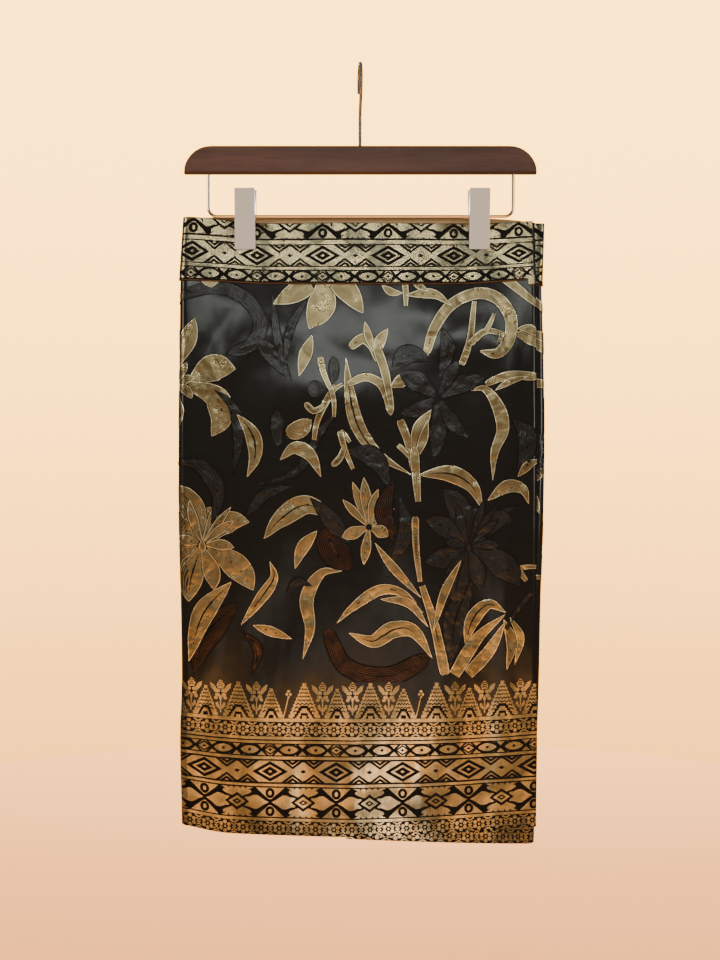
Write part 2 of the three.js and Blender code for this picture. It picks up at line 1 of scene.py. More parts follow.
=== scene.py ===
"""A sampin, the short wrapped hip cloth of Malay dress, hung flat by the two clips of a wooden hanger.

Sizes are in millimetres, and meshes are written in metres. A place on the cloth is given by run, the
distance along the wrap from its free front edge, and down, the distance down the cut.
"""

import logging
import math
from dataclasses import dataclass, field
from enum import Enum
from functools import partial
from typing import Optional, Sequence, Union

import bmesh
import bpy
import numpy as np
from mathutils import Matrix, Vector
from mathutils.geometry import delaunay_2d_cdt


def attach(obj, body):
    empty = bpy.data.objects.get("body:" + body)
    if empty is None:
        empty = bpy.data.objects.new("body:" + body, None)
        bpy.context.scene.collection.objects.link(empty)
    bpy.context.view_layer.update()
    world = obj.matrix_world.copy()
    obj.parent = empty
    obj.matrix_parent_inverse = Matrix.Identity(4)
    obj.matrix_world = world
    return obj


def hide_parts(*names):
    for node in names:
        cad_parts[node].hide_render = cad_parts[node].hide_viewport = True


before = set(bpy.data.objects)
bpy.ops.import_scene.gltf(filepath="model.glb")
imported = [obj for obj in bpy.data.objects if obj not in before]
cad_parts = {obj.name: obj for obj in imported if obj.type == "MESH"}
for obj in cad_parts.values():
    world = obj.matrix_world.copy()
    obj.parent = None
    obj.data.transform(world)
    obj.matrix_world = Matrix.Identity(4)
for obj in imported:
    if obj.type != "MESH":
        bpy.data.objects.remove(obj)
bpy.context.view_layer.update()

LOG = logging.getLogger("sampin")
Array = np.ndarray
Point = tuple[float, float]
Triple = tuple[float, float, float]

# Distances down the cut: the waistband's foot, the main border's head and the hem.
BAND_HEIGHT = 65.0
BORDER_TOP = 534.0
CUT_HEIGHT = 658.0
# The wrap's length, and the X where its run begins on a flat front.
WRAP_LENGTH = 989.0
FRONT_START = 190.0
# A repeat of the border's figures, and one of its threads.
REPEAT = 70.8
THREAD = REPEAT / 66
# A place beyond the end of every table, which a Curve reads as its end row.
FAR = 1000.0


def smooth(t: Array) -> Array:
    """Returns an S-shaped ease of t, which is clamped from 0 to 1."""
    s = np.clip(t, 0.0, 1.0)
    return s * s * (3.0 - 2.0 * s)


class Curve:
    """A smooth curve through the rows of a table, read at many places at once."""

    def __init__(self, keys: Sequence[float], values: Sequence[float]) -> None:
        """Stores the rows in rising order, with a slope at each one."""
        order = np.argsort(keys)
        self.keys = np.asarray(keys, float)[order]
        self.values = np.asarray(values, float)[order]
        k, v = self.keys, self.values
        inner = (v[2:] - v[:-2]) / (k[2:] - k[:-2])
        first, last = (v[1] - v[0]) / (k[1] - k[0]), (v[-1] - v[-2]) / (k[-1] - k[-2])
        self.slopes = np.concatenate([[first], inner, [last]])

    def __call__(self, place: Array) -> Array:
        """Returns the curve's value at each place, held at the end rows beyond them."""
        p = np.clip(place, self.keys[0], self.keys[-1])
        i = np.clip(np.searchsorted(self.keys, p, side="right") - 1, 0, len(self.keys) - 2)
        span = self.keys[i + 1] - self.keys[i]
        t = (p - self.keys[i]) / span
        t2, t3 = t * t, t * t * t
        return (
            (2 * t3 - 3 * t2 + 1) * self.values[i]
            + (t3 - 2 * t2 + t) * self.slopes[i] * span
            + (3 * t2 - 2 * t3) * self.values[i + 1]
            + (t3 - t2) * self.slopes[i + 1] * span
        )


def columns(keys: Sequence[float], *rows: Sequence[float]) -> list[Curve]:
    """Returns one Curve for each column of rows of values."""
    return [Curve(keys, column) for column in zip(*rows)]


@dataclass(frozen=True)
class Swell:
    """A large soft fold of a face: its place, reach, turn in degrees and depth."""

    x: float
    z: float
    run: float
    width: float
    turn: float
    depth: float

    def at(self, x: Array, z: Array) -> Array:
        """Returns the fold's depth at each place."""
        turn = math.radians(self.turn)
        across = (x - self.x) * math.cos(turn) - (z - self.z) * math.sin(turn)
        along = (x - self.x) * math.sin(turn) + (z - self.z) * math.cos(turn)
        return self.depth * np.exp(-((across / self.width) ** 2) - (along / self.run) ** 2)


@dataclass(frozen=True)
class Crease:
    """A crease on the wrap, from one place to another, pulled to one side between them."""

    start: Point
    end: Point
    width: float
    height: float
    bow: float = 0.0

    def at(self, run: Array, down: Array) -> Array:
        """Returns how far the crease lifts the cloth at each place."""
        ax, ay = self.start
        dx, dy = self.end[0] - ax, self.end[1] - ay
        length = math.hypot(dx, dy)
        t = ((run - ax) * dx + (down - ay) * dy) / length**2
        across = ((run - ax) * -dy + (down - ay) * dx) / length
        across = across - self.bow * np.sin(np.pi * np.clip(t, 0, 1))
        ends = smooth((t + 0.12) / 0.4) * smooth((1.12 - t) / 0.4)
        width = self.width * np.where(across > 0, 1.35, 0.8)
        return self.height * ends * np.exp(-((across / width) ** 2))


@dataclass
class Drape:
    """The form that the wrapped cloth takes on the clips: front, back and underlap in one run."""

    front_span: float = 386.0
    back_span: float = 392.0
    face_half: float = 184.0
    fold_flat: float = 24.0
    fold_reach: float = 9.0
    lap_step: float = 2.8
    clip_centres: tuple[float, float] = (-124.0, 128.9)
    clip_half: float = 12.0
    jaw_height: float = -194.0
    front_held: float = 0.5
    back_held: float = 4.9
    face_even: float = 150.0
    creases: tuple[Crease, ...] = (
        Crease((30, 640), (22, 120), 9, 1.1, 6),
        Crease((64, 655), (52, 430), 11, -1.0, -5),
        Crease((116, 655), (128, 470), 10, 0.9, 7),
        Crease((150, 655), (141, 560), 8, -0.8, 0),
        Crease((196, 655), (206, 520), 12, 1.1, -6),
        Crease((244, 655), (238, 500), 11, -0.9, 5),
        Crease((300, 655), (312, 540), 9, 0.9, -4),
        Crease((334, 650), (346, 410), 10, 0.8, 6),
        Crease((362, 655), (352, 500), 7, -0.7, 0),
        Crease((60, 596), (236, 622), 10, 0.8, 9),
        Crease((210, 586), (356, 566), 9, -0.7, -7),
        Crease((66, 108), (238, 128), 15, 0.7, 34),
        Crease((272, 108), (340, 186), 13, 0.8, -14),
        Crease((60, 104), (26, 210), 10, 0.9, 8),
        Crease((330, 100), (372, 196), 9, -0.7, -6),
        Crease((104, 250), (170, 398), 12, 0.5, -12),
        Crease((430, 650), (446, 330), 11, 1.0, 9),
        Crease((482, 655), (470, 420), 12, -0.9, -6),
        Crease((520, 640), (540, 240), 13, 1.0, 10),
        Crease((566, 655), (558, 470), 9, -0.7, 0),
        Crease((604, 655), (618, 350), 12, 0.9, -8),
        Crease((652, 655), (640, 500), 10, -0.8, 5),
        Crease((690, 640), (704, 260), 11, 0.9, 7),
        Crease((738, 655), (730, 410), 9, 0.8, -5),
        Crease((470, 112), (560, 150), 14, 0.7, 22),
        Crease((640, 106), (716, 176), 12, 0.7, -14),
        Crease((500, 600), (690, 618), 10, 0.6, 8),
        Crease((836, 640), (850, 300), 12, 0.7, 7),
        Crease((900, 650), (890, 420), 11, -0.7, -5),
    )

    def __post_init__(self) -> None:
        """Reads the tables of sections and lines."""
        heights = (-164, -196, -236, -308, -405, -492, -579, -666, -730, -796, -842)
        (self.left, self.edge, self.right, self.fore_side, self.fore, self.rear_side, self.rear) = columns(
            heights,
            (-189.7, 188.5, 198.4, 1.2, 2.6, 5.6, 6.1),
            (-191.9, 189.4, 197.6, 1.2, 2.4, 5.4, 5.8),
            (-194.2, 190.0, 196.5, 2.2, 4.6, 5.6, 7.4),
            (-194.9, 190.5, 198.4, 3.4, 9.0, 6.0, 9.4),
            (-196.0, 190.9, 199.4, 4.8, 12.8, 6.6, 11.4),
            (-195.7, 190.4, 198.2, 6.0, 14.6, 7.6, 12.8),
            (-193.6, 189.8, 195.3, 7.0, 16.4, 8.6, 14.2),
            (-192.4, 189.6, 193.4, 8.0, 18.2, 9.6, 15.6),
            (-194.1, 190.5, 191.0, 8.6, 19.6, 10.2, 16.6),
            (-192.6, 189.7, 189.0, 9.0, 21.2, 10.8, 17.6),
            (-191.3, 189.3, 187.5, 9.0, 22.4, 11.0, 18.2),
        )
        self.front_lines = columns(
            (-197, -180, -150, -107, -16, 32, 112, 150, 191),
            (-163.6, -231.4, -699.6, -816.7),
            (-164.6, -232.4, -701.0, -820.8),
            (-167.4, -233.6, -703.2, -826.2),
            (-171.6, -236.0, -705.0, -827.4),
            (-171.2, -236.8, -705.2, -829.4),
            (-171.4, -236.8, -705.2, -828.3),
            (-171.8, -236.2, -704.6, -824.8),
            (-171.0, -234.0, -703.4, -822.6),
            (-168.6, -231.6, -700.9, -821.5),
        )
        self.back_lines = columns(
            (-197, -100, 0, 100, 160, 200),
            (-163.6, -231.4, -699.6, -816.7),
            (-163.8, -232.0, -704.0, -823.0),
            (-164.0, -232.8, -708.0, -829.0),
            (-164.2, -233.8, -712.0, -835.0),
            (-165.8, -236.0, -714.4, -839.0),
            (-171.2, -238.0, -716.0, -841.0),
        )
        self.underlap_lines = columns(
            (-15, 21, 118, 200),
            (-172.6, -237.6, -710.0, -832.0),
            (-172.8, -237.8, -711.0, -833.6),
            (-173.2, -238.0, -714.0, -837.9),
            (-171.2, -238.0, -716.0, -841.0),
        )
        self.front_folds = (
            Swell(-158, -770, 74, 17, 3, -4.5),
            Swell(-104, -800, 80, 26, -6, 1.8),
            Swell(84, -706, 96, 26, 24, 2.6),
            Swell(128, -620, 120, 30, -10, -2.4),
            Swell(-22, -356, 96, 34, 90, 2.2),
            Swell(-120, -300, 80, 26, 62, 1.6),
            Swell(122, -300, 80, 26, -62, 1.6),
            Swell(-60, -560, 110, 34, 34, -2.0),
            Swell(30, -480, 120, 36, -28, 1.6),
        )
        self.back_folds = (
            Swell(-120, -700, 150, 24, -4, 3.0),
            Swell(-36, -740, 120, 22, 3, -3.2),
            Swell(62, -660, 170, 27, -5, 3.4),
            Swell(138, -720, 130, 20, 5, -2.8),
            Swell(0, -340, 110, 32, 90, 2.0),
            Swell(-96, -450, 120, 30, -22, -2.0),
        )

    def height(self, lines: list[Curve], x: Array, down: Array) -> Array:
        """Returns the height of places on a stretch whose lines are given."""
        top, seam, border, hem = (line(x) for line in lines)
        band = down / BAND_HEIGHT
        body = (down - BAND_HEIGHT) / (BORDER_TOP - BAND_HEIGHT)
        low = (down - BORDER_TOP) / (CUT_HEIGHT - BORDER_TOP)
        below = np.where(down <= BORDER_TOP, seam + (border - seam) * body, border + (hem - border) * low)
        return np.where(down <= BAND_HEIGHT, top + (seam - top) * band, below)

    def pinch(self, x: Array, z: Array) -> Array:
        """Returns how firmly the clips hold the cloth at each place, from 0 to 1."""
        rise = z - self.jaw_height
        level = 1 - smooth((np.abs(rise) - 7) / np.where(rise > 0, 26.0, 60.0))
        grips = [level * (1 - smooth((np.abs(x - c) - self.clip_half) / 42)) for c in self.clip_centres]
        return np.maximum(*grips)

    def crown(self, x: Array, z: Array) -> Array:
        """Returns 0 at the side folds and 1 at the middle of the cloth."""
        left, right = self.left(z), self.right(z)
        t = np.clip((x - left) / (right - left), 0, 1)
        return np.abs(np.sin(np.pi * t)) ** 0.8

    def depth(
        self, x: Array, z: Array, lines: Sequence[Curve], folds: Sequence[Swell], held: float
    ) -> Array:
        """Returns how far a face lies from the hanger's plane.

        Args:
            x: The places' X.
            z: Their heights.
            lines: The face's distance at its sides and at its middle.
            folds: Its large folds.
            held: Its distance where a clip holds it.

        Returns:
            The distances.
        """
        swell = self.crown(x, z)
        side, middle = (line(z) for line in lines)
        loose = side + (middle - side) * swell + sum(fold.at(x, z) for fold in folds) * swell
        return loose + (held - loose) * self.pinch(x, z)

    def front_depth(self, x: Array, z: Array) -> Array:
        """Returns how far the front lies before the hanger's plane."""
        return self.depth(x, z, (self.fore_side, self.fore), self.front_folds, self.front_held)

    def back_depth(self, x: Array, z: Array) -> Array:
        """Returns how far the back lies behind the hanger's plane."""
        return self.depth(x, z, (self.rear_side, self.rear), self.back_folds, self.back_held)

    def front(self, x: Array, down: Array) -> Array:
        """Returns points on the front's middle surface."""
        z = self.height(self.front_lines, x, down)
        return np.stack([x, -self.front_depth(x, z), z], axis=-1)

    def back(self, x: Array, down: Array) -> Array:
        """Returns points on the back's middle surface."""
        z = self.height(self.back_lines, x, down)
        return np.stack([x, self.back_depth(x, z), z], axis=-1)

    def underlap(self, x: Array, down: Array) -> Array:
        """Returns points on the underlap's middle surface."""
        z = self.height(self.underlap_lines, x, down)
        return np.stack([x, -self.front_depth(x, z) + self.lap_step, z], axis=-1)

    def root(self, side: int, down: Array) -> Array:
        """Returns the X at which the fold of a side begins: side is -1 at the left and 1 at the right."""
        lines = self.front_lines if side < 0 else self.back_lines
        z = self.height(lines, np.full_like(down, side * FAR), down)
        limit = self.left(z) if side < 0 else self.right(z)
        return limit - side * self.fold_reach

    def fold(self, first: Array, second: Array, side: int, root: Array, turn: Array) -> Array:
        """Returns points round the half-round fold from a first stretch to a second one."""
        angle = np.pi * turn
        x = root + side * self.fold_reach * np.sin(angle)
        middle, half = (first[..., 1] + second[..., 1]) / 2, (first[..., 1] - second[..., 1]) / 2
        z = first[..., 2] + (second[..., 2] - first[..., 2]) * smooth(turn)
        return np.stack([x, middle + half * np.cos(angle), z], axis=-1)

    def spread_x(self, nominal: Array, low: Array, high: Array) -> Array:
        """Returns X for nominal places, eased so that the ends of the face fall on low and high."""
        inner = self.face_even
        right = inner + (nominal - inner) / (self.face_half - inner) * (high - inner)
        left = -inner + (nominal + inner) / (inner - self.face_half) * (low + inner)
        return np.where(nominal > inner, right, np.where(nominal < -inner, left, nominal))

    def base(self, run: Array, down: Array) -> Array:
        """Returns points on the middle surface of the wrap, without its creases."""
        left, right = self.root(-1, down), self.root(1, down)
        edge_z = self.height(self.front_lines, np.full_like(down, FAR), down)
        inner = self.face_even
        edge = inner + (self.edge(edge_z) - inner) * (self.face_half - inner) / (FRONT_START - inner)
        half = self.fold_flat / 2
        on_front = FRONT_START - run
        on_back = run - self.front_span - self.face_half - half
        on_lap = self.face_half + half - (run - self.front_span - self.back_span)
        front = self.front(self.spread_x(on_front, left, edge), down)
        back = self.back(self.spread_x(on_back, left, right), down)
        lap = self.underlap(self.spread_x(on_lap, left, right), down)
        left_turn = np.clip((run - (self.front_span - half)) / self.fold_flat, 0, 1)
        right_turn = np.clip((run - (self.front_span + self.back_span - half)) / self.fold_flat, 0, 1)
        left_fold = self.fold(self.front(left, down), self.back(left, down), -1, left, left_turn)
        right_fold = self.fold(self.back(right, down), self.underlap(right, down), 1, right, right_turn)
        middle = run[..., None] < self.front_span + self.back_span / 2
        folds = np.where(middle, left_fold, right_fold)
        turning = ((left_turn > 0) & (left_turn < 1)) | ((right_turn > 0) & (right_turn < 1))
        past_left = (run >= self.front_span)[..., None]
        past_right = (run >= self.front_span + self.back_span)[..., None]
        faces = np.where(past_right, lap, np.where(past_left, back, front))
        return np.where(turning[..., None], folds, faces)

    def place(self, run: Array, down: Array, lift: Union[Array, float] = 0.0) -> Array:
        """Returns points in metres on the creased wrap.

        Args:
            run: Distances along the wrap.
            down: Distances down the cut.
            lift: How far each point lies outside the cloth's middle surface.

        Returns:
            An array of points, one row to each place.
        """
        run, down = np.asarray(run, float), np.asarray(down, float)
        here = self.base(run, down)
        step = self.base(run + 0.7, down) - self.base(run - 0.7, down)
        normal = np.stack([-step[..., 1], step[..., 0]], axis=-1)
        normal = normal / np.linalg.norm(normal, axis=-1, keepdims=True)
        crease = sum(c.at(run, down) for c in self.creases)
        crease = crease * (1 - self.pinch(here[..., 0], here[..., 2]))
        crease = crease * smooth((down - BAND_HEIGHT + 6) / 34) * smooth(run / 8)
        for fold in (self.front_span, self.front_span + self.back_span):
            crease = crease * smooth((np.abs(run - fold) - 12) / 14)
        here[..., :2] += normal * (crease + lift)[..., None]
        return here / 1000.0


DRAPE = Drape()
FOLDS = (DRAPE.front_span, DRAPE.front_span + DRAPE.back_span)


class Wire:
    """A socket of a node tree. Expressions on it build Math nodes."""

    def __init__(self, shade: "NodeTree", socket: bpy.types.NodeSocket) -> None:
        """Wraps a socket of the shade's tree."""
        self.shade = shade
        self.socket = socket

    def math(self, operation: str, *others: Union["Wire", float]) -> "Wire":
        """Returns a Math node's result on this socket and the others."""
        sockets = {i: value for i, value in enumerate((self, *others))}
        return self.shade.node("ShaderNodeMath", {"operation": operation}, sockets)

    def __add__(self, other: Union["Wire", float]) -> "Wire":
        """Returns self + other."""
        return self.math("ADD", other)

    def __sub__(self, other: Union["Wire", float]) -> "Wire":
        """Returns self - other."""
        return self.math("SUBTRACT", other)

    def __rsub__(self, other: float) -> "Wire":
        """Returns other - self."""
        return self * -1.0 + other

    def __mul__(self, other: Union["Wire", float]) -> "Wire":
        """Returns self * other."""
        return self.math("MULTIPLY", other)

    def __truediv__(self, other: Union["Wire", float]) -> "Wire":
        """Returns self / other."""
        return self.math("DIVIDE", other)

    def __mod__(self, other: float) -> "Wire":
        """Returns self modulo other, never below zero."""
        return self.math("FLOORED_MODULO", other)

    def __lt__(self, other: Union["Wire", float]) -> "Wire":
        """Returns 1 where self is below other."""
        return self.math("LESS_THAN", other)

    def __abs__(self) -> "Wire":
        """Returns the size of self."""
        return self.math("ABSOLUTE")

    __radd__ = __add__
    __rmul__ = __mul__

    def wave(self, period: float) -> "Wire":
        """Returns a triangle wave from 0 to 1 of the given period."""
        return abs((self / period) % 1.0 - 0.5) * 2.0

    def ramp(self, low: float, high: float, start: float = 0.0, end: float = 1.0) -> "Wire":
        """Returns a smooth change from start to end as self goes from low to high."""
        sockets = {0: self, 1: low, 2: high, 3: start, 4: end}
        return self.shade.node("ShaderNodeMapRange", {"interpolation_type": "SMOOTHSTEP"}, sockets)


class NodeTree:
    """A node tree that is built with Wires."""

    def __init__(self, tree: bpy.types.NodeTree) -> None:
        """Takes the tree to add nodes to."""
        self.tree = tree

    def node(
        self,
        kind: str,
        settings: Optional[dict[str, object]] = None,
        sockets: Optional[dict[Union[int, str], object]] = None,
        out: Union[int, str] = 0,
    ) -> Wire:
        """Adds a node.

        Args:
            kind: The node's type.
            settings: Values of its properties.
            sockets: Constants or Wires for its inputs, by name or number.
            out: Which output to return.

        Returns:
            The output as a Wire.
        """
        made = self.tree.nodes.new(kind)
        for key, value in (settings or {}).items():
            setattr(made, key, value)
        for key, value in (sockets or {}).items():
            if isinstance(value, Wire):
                self.tree.links.new(value.socket, made.inputs[key])
            else:
                made.inputs[key].default_value = value
        return Wire(self, made.outputs[out])

    def mix(self, factor: Wire, first: object, second: object) -> Wire:
        """Returns a colour between two others."""
        pair = [(*c, 1.0) if isinstance(c, tuple) else c for c in (first, second)]
        sockets = {0: factor, 6: pair[0], 7: pair[1]}
        return self.node("ShaderNodeMix", {"data_type": "RGBA"}, sockets, out=2)


class Shade(NodeTree):
    """The node tree of one material, with its Principled shader."""

    def __init__(self, name: str, **constants: object) -> None:
        """Starts a material whose shader's sockets have the given constants."""
        self.material = bpy.data.materials.new(name)
        self.material.use_nodes = True
        super().__init__(self.material.node_tree)
        self.shader = self.tree.nodes["Principled BSDF"]
        for socket, value in constants.items():
            self.put(socket.replace("_", " ").title().replace("Ior", "IOR"), value)

    def put(self, socket: str, value: object) -> None:
        """Sets a socket of the shader, or links a Wire to it."""
        target = self.shader.inputs[socket]
        if isinstance(value, Wire):
            self.tree.links.new(value.socket, target)
        else:
            target.default_value = (*value, 1.0) if isinstance(value, tuple) else value

    def read(self, name: str) -> Wire:
        """Returns a value that the piece keeps at each of its points."""
        return self.node("ShaderNodeAttribute", {"attribute_name": name}, None, "Fac")

    def noise(self, scale: float, detail: float = 2.0, stretch: Optional[Triple] = None) -> Wire:
        """Returns noise over Object coordinates, from about 0.3 to 0.7."""
        place = self.node("ShaderNodeTexCoord", out="Object")
        if stretch:
            sockets = {0: place, 1: stretch}
            place = self.node("ShaderNodeVectorMath", {"operation": "MULTIPLY"}, sockets)
        return self.node("ShaderNodeTexNoise", None, {"Vector": place, "Scale": scale, "Detail": detail})

    def bump(self, height: Wire, distance: float, strength: float = 1.0) -> None:
        """Feeds the shader's Normal from a height."""
        sockets = {"Height": height, "Distance": distance, "Strength": strength}
        self.put("Normal", self.node("ShaderNodeBump", None, sockets))


def keep(mesh: bpy.types.Mesh, **values: Array) -> None:
    """Keeps a value at each point of a mesh under each name."""
    for name, value in values.items():
        mesh.attributes.new(name, "FLOAT", "POINT").data.foreach_set("value", value.astype(np.float32))


def lay_flat(mesh: bpy.types.Mesh, run: Array, down: Array) -> None:
    """Writes the map named OFBake, with the cloth laid flat in it at one scale."""
    layer = mesh.uv_layers.new(name="OFBake")
    index = np.empty(len(mesh.loops), np.int32)
    mesh.loops.foreach_get("vertex_index", index)
    size = 1.02 * max(run.max() - run.min(), down.max() - down.min())
    flat = np.stack([run - run.min(), down - down.min()], axis=-1)[index] / size + 0.01
    layer.data.foreach_set("uv", flat.astype(np.float32).ravel())


@dataclass(frozen=True)
class SatinFinish:
    """Black satin: a fine weft sheen with faint tonal streaks."""

    colour: Triple = (0.0095, 0.0098, 0.0095)
    thread: float = 1.1

    def make(self, name: str) -> bpy.types.Material:
        """Builds the material."""
        shade = Shade(name, specular_ior_level=0.32)
        run, down = shade.read("run"), shade.read("down")
        weave = (down + run * 0.5).wave(self.thread) * 0.6 + run.wave(self.thread * 0.8) * 0.4
        streak = shade.noise(260.0, 3.0, (0.06, 0.06, 1.0))
        dull = shade.noise(14.0, 2.0)
        ripple = shade.noise(26.0, 2.0, (1.0, 1.0, 0.45))
        shade.put("Base Color", shade.mix(streak, self.colour, tuple(c * 1.6 for c in self.colour)))
        shade.put("Roughness", dull * 0.08 + weave * 0.04 + 0.1)
        shade.bump(ripple + weave * 0.006, 0.0016)
        return shade.material


@dataclass(frozen=True)
class GoldFinish:
    """Metal-wrapped weft threads that lie in ribs with black showing between them, darker and greener in
    broad patches of painted shade.
    """

    bright: Triple
    dark: Triple
    rib: float = 1.07

    def make(self, name: str) -> bpy.types.Material:
        """Builds the material."""
        shade = Shade(name, metallic=0.92, specular_ior_level=0.4)
        run, down = shade.read("run"), shade.read("down")
        rib = (down + run.wave(self.rib * 4) * 0.3).wave(self.rib)
        tie = (run + down * 2.0).wave(self.rib * 2)
        thread = rib.ramp(0.05, 0.5) * tie.ramp(0.0, 0.3, 0.55, 1.0)
        # Painted shade: the patch noise mixes the gold towards a darker, greener copy of itself in broad
        # patches, for the dull reflections of the creased cloth; the same noise also varies roughness and
        # bump.
        patch = shade.noise(32.0, 2.0, (1.0, 1.0, 0.7))
        shaded = tuple(c * d for c, d in zip(self.bright, (0.44, 0.5, 0.56)))
        tint = shade.mix(patch.ramp(0.38, 0.62), self.bright, shaded)
        shade.put("Base Color", shade.mix(thread, self.dark, tint))
        shade.put("Roughness", patch * 0.16 + rib * 0.05 + 0.13)
        shade.bump(patch + rib * 0.007, 0.003)
        return shade.material


@dataclass(frozen=True)
class PlainFinish:
    """A metal, plastic or thread with a slight unevenness."""

    colour: Triple
    roughness: float
    metallic: float = 0.0
    grain: float = 120.0
    spread: float = 0.25
    shine: float = 0.5

    def make(self, name: str) -> bpy.types.Material:
        """Builds the material."""
        shade = Shade(name, metallic=self.metallic, specular_ior_level=self.shine)
        speck = shade.noise(self.grain, 3.0)
        low = tuple(c * (1 - self.spread) for c in self.colour)
        shade.put("Base Color", shade.mix(speck, low, self.colour))
        shade.put("Roughness", speck * 0.12 + (self.roughness - 0.06))
        shade.bump(speck, 0.0002, 0.12)
        return shade.material


@dataclass(frozen=True)
class WoodFinish:
    """Dark walnut with long pores along X, lighter and darker in broad streaks."""

    light: Triple = (0.150, 0.062, 0.038)
    dark: Triple = (0.070, 0.028, 0.018)

    def make(self, name: str) -> bpy.types.Material:
        """Builds the material."""
        shade = Shade(name, specular_ior_level=0.45)
        broad = shade.noise(30.0, 4.0, (0.12, 1.0, 1.0))
        pores = shade.noise(900.0, 2.0, (0.03, 1.0, 1.6))
        deep = pores.ramp(0.56, 0.76) * 0.7
        tint = shade.mix(broad.ramp(0.34, 0.66), self.dark, self.light)
        shade.put("Base Color", shade.mix(deep, tint, tuple(c * 0.45 for c in self.dark)))
        shade.put("Roughness", deep * 0.25 + 0.4)
        shade.bump(pores, 0.0003, 0.25)
        return shade.material


@dataclass(frozen=True)
class LeafFinish:
    """Threads that follow a leaf's outline: a rim colour at the very edge, then fine dark lines between
    bright ones. On the gold leaves the rim is light, a painted highlight of the raised edge.
    """

    rim: Triple
    bright: Triple
    dark: Triple
    metallic: float = 0.88
    gloss: float = 0.27
    pitch: float = 1.6
    fill: Point = (0.04, 0.4)

    def make(self, name: str) -> bpy.types.Material:
        """Builds the material."""
        shade = Shade(name, metallic=self.metallic, specular_ior_level=0.4)
        edge, along = shade.read("edge"), shade.read("along")
        line = (edge + along.wave(3.4) * 0.25).wave(self.pitch)
        patch = shade.noise(60.0, 2.0)
        tint = shade.mix(patch.ramp(0.36, 0.64), self.bright, tuple(c * 0.62 for c in self.bright))
        body = shade.mix(line.ramp(*self.fill), self.dark, tint)
        body = shade.mix(edge < 1.2, body, self.dark)
        # The rim colour at the very edge: on the gold leaves a light one, a painted highlight where the
        # raised edge catches the light; on the tonal leaves a dark one.
        shade.put("Base Color", shade.mix(edge < 0.75, body, self.rim))
        shade.put("Roughness", patch * 0.14 + self.gloss - 0.05)
        shade.bump(patch + line * 0.016, 0.0022)
        return shade.material


class Thread(Enum):
    """The finishes that the cloth's pieces are dressed with."""

    SATIN = SatinFinish()
    GOLD = GoldFinish(bright=(0.66, 0.54, 0.30), dark=(0.035, 0.026, 0.012))
    BLACK = PlainFinish((0.005, 0.0046, 0.0042), 0.6, shine=0.15)
    # The gold leaves' light rim colour is a painted highlight along their raised edges.
    LEAF = LeafFinish(rim=(0.85, 0.74, 0.46), bright=(0.43, 0.34, 0.17), dark=(0.10, 0.075, 0.035))
    TONAL = LeafFinish((0.004, 0.004, 0.004), (0.02, 0.02, 0.0205), (0.003, 0.003, 0.003), 0.0, 0.24, 2.6)
    # Painted warm light: tonal leaves low on the body, coloured brown for the warm floor light that the real
    # ones reflect.
    TONAL_PAINTED_WARM_LIGHT = LeafFinish(
        (0.006, 0.004, 0.003), (0.085, 0.036, 0.02), (0.004, 0.003, 0.003), 0.5, 0.3, 2.1, (0.5, 0.8)
    )
    # Partly painted shadow: the piping's copper is darkened to stand for the shadow gap under the
    # waistband's edge.
    COPPER_AND_SHADOW = PlainFinish((0.17, 0.085, 0.04), 0.36, 0.5, 900.0, 0.5)
    STITCH = PlainFinish((0.02, 0.016, 0.012), 0.7, 0.0, 600.0, 0.3, 0.2)
    SEAM = PlainFinish((0.42, 0.22, 0.09), 0.8, 0.0, 600.0, 0.3, 0.2)
    TAN = PlainFinish((0.80, 0.50, 0.24), 0.85, 0.0, 240.0, 0.2)
    WOOD = WoodFinish()
    WIRE = PlainFinish((0.62, 0.56, 0.50), 0.2, 1.0, 60.0, 0.12)
    PLATE = PlainFinish((0.97, 0.96, 0.94), 0.3, 0.0, 90.0, 0.02, 0.9)
    SPRING = PlainFinish((0.55, 0.54, 0.52), 0.3, 1.0, 60.0, 0.2)

    def material(self) -> bpy.types.Material:
        """Returns the finish's material, built when it is first asked for."""
        name = f"{self.name.lower()}_finish"
        return bpy.data.materials.get(name) or self.value.make(name)


def steps(marks: Sequence[float], pitches: Sequence[float]) -> Array:
    """Returns places from each mark to the next, at about the pitch given for it."""
    parts = [
        np.linspace(a, b, max(1, round((b - a) / pitch)), endpoint=False)
        for a, b, pitch in zip(marks, marks[1:], pitches)
    ]
    return np.concatenate([*parts, [marks[-1]]])


def wrap_runs(start: float, pitch: float = 5.0, fold_pitch: float = 1.2, reach: float = 14.0) -> Array:
    """Returns runs from start to the wrap's end, closer together within reach of its two folds."""
    marks = [start, *(fold + side * reach for fold in FOLDS for side in (-1, 1)), WRAP_LENGTH]
    return steps(marks, (pitch, fold_pitch, pitch, fold_pitch, pitch))


def new_object(name: str, points: Array, faces: Sequence[Sequence[int]]) -> bpy.types.Object:
    """Adds a smooth-shaded mesh object of the given points and faces."""
    mesh = bpy.data.meshes.new(name)
    mesh.from_pydata([tuple(p) for p in points.tolist()], [], faces)
    mesh.shade_smooth()
    made = bpy.data.objects.new(name, mesh)
    bpy.context.collection.objects.link(made)
    return made


def grid_cells(rows: int, width: int) -> Array:
    """Returns the four corners of each cell of a grid of points."""
    first = np.arange((rows - 1) * width).reshape(-1, width)[:, :-1].ravel()
    return np.stack([first, first + 1, first + width + 1, first + width], axis=-1)


def sideways(line: Array, size: float = 1.0) -> Array:
    """Returns, at each point of a line, a step of the given size square to it."""
    ahead = np.gradient(line, axis=0)
    side = np.stack([-ahead[:, 1], ahead[:, 0]], axis=-1)
    return side * (size / np.linalg.norm(side, axis=-1, keepdims=True))


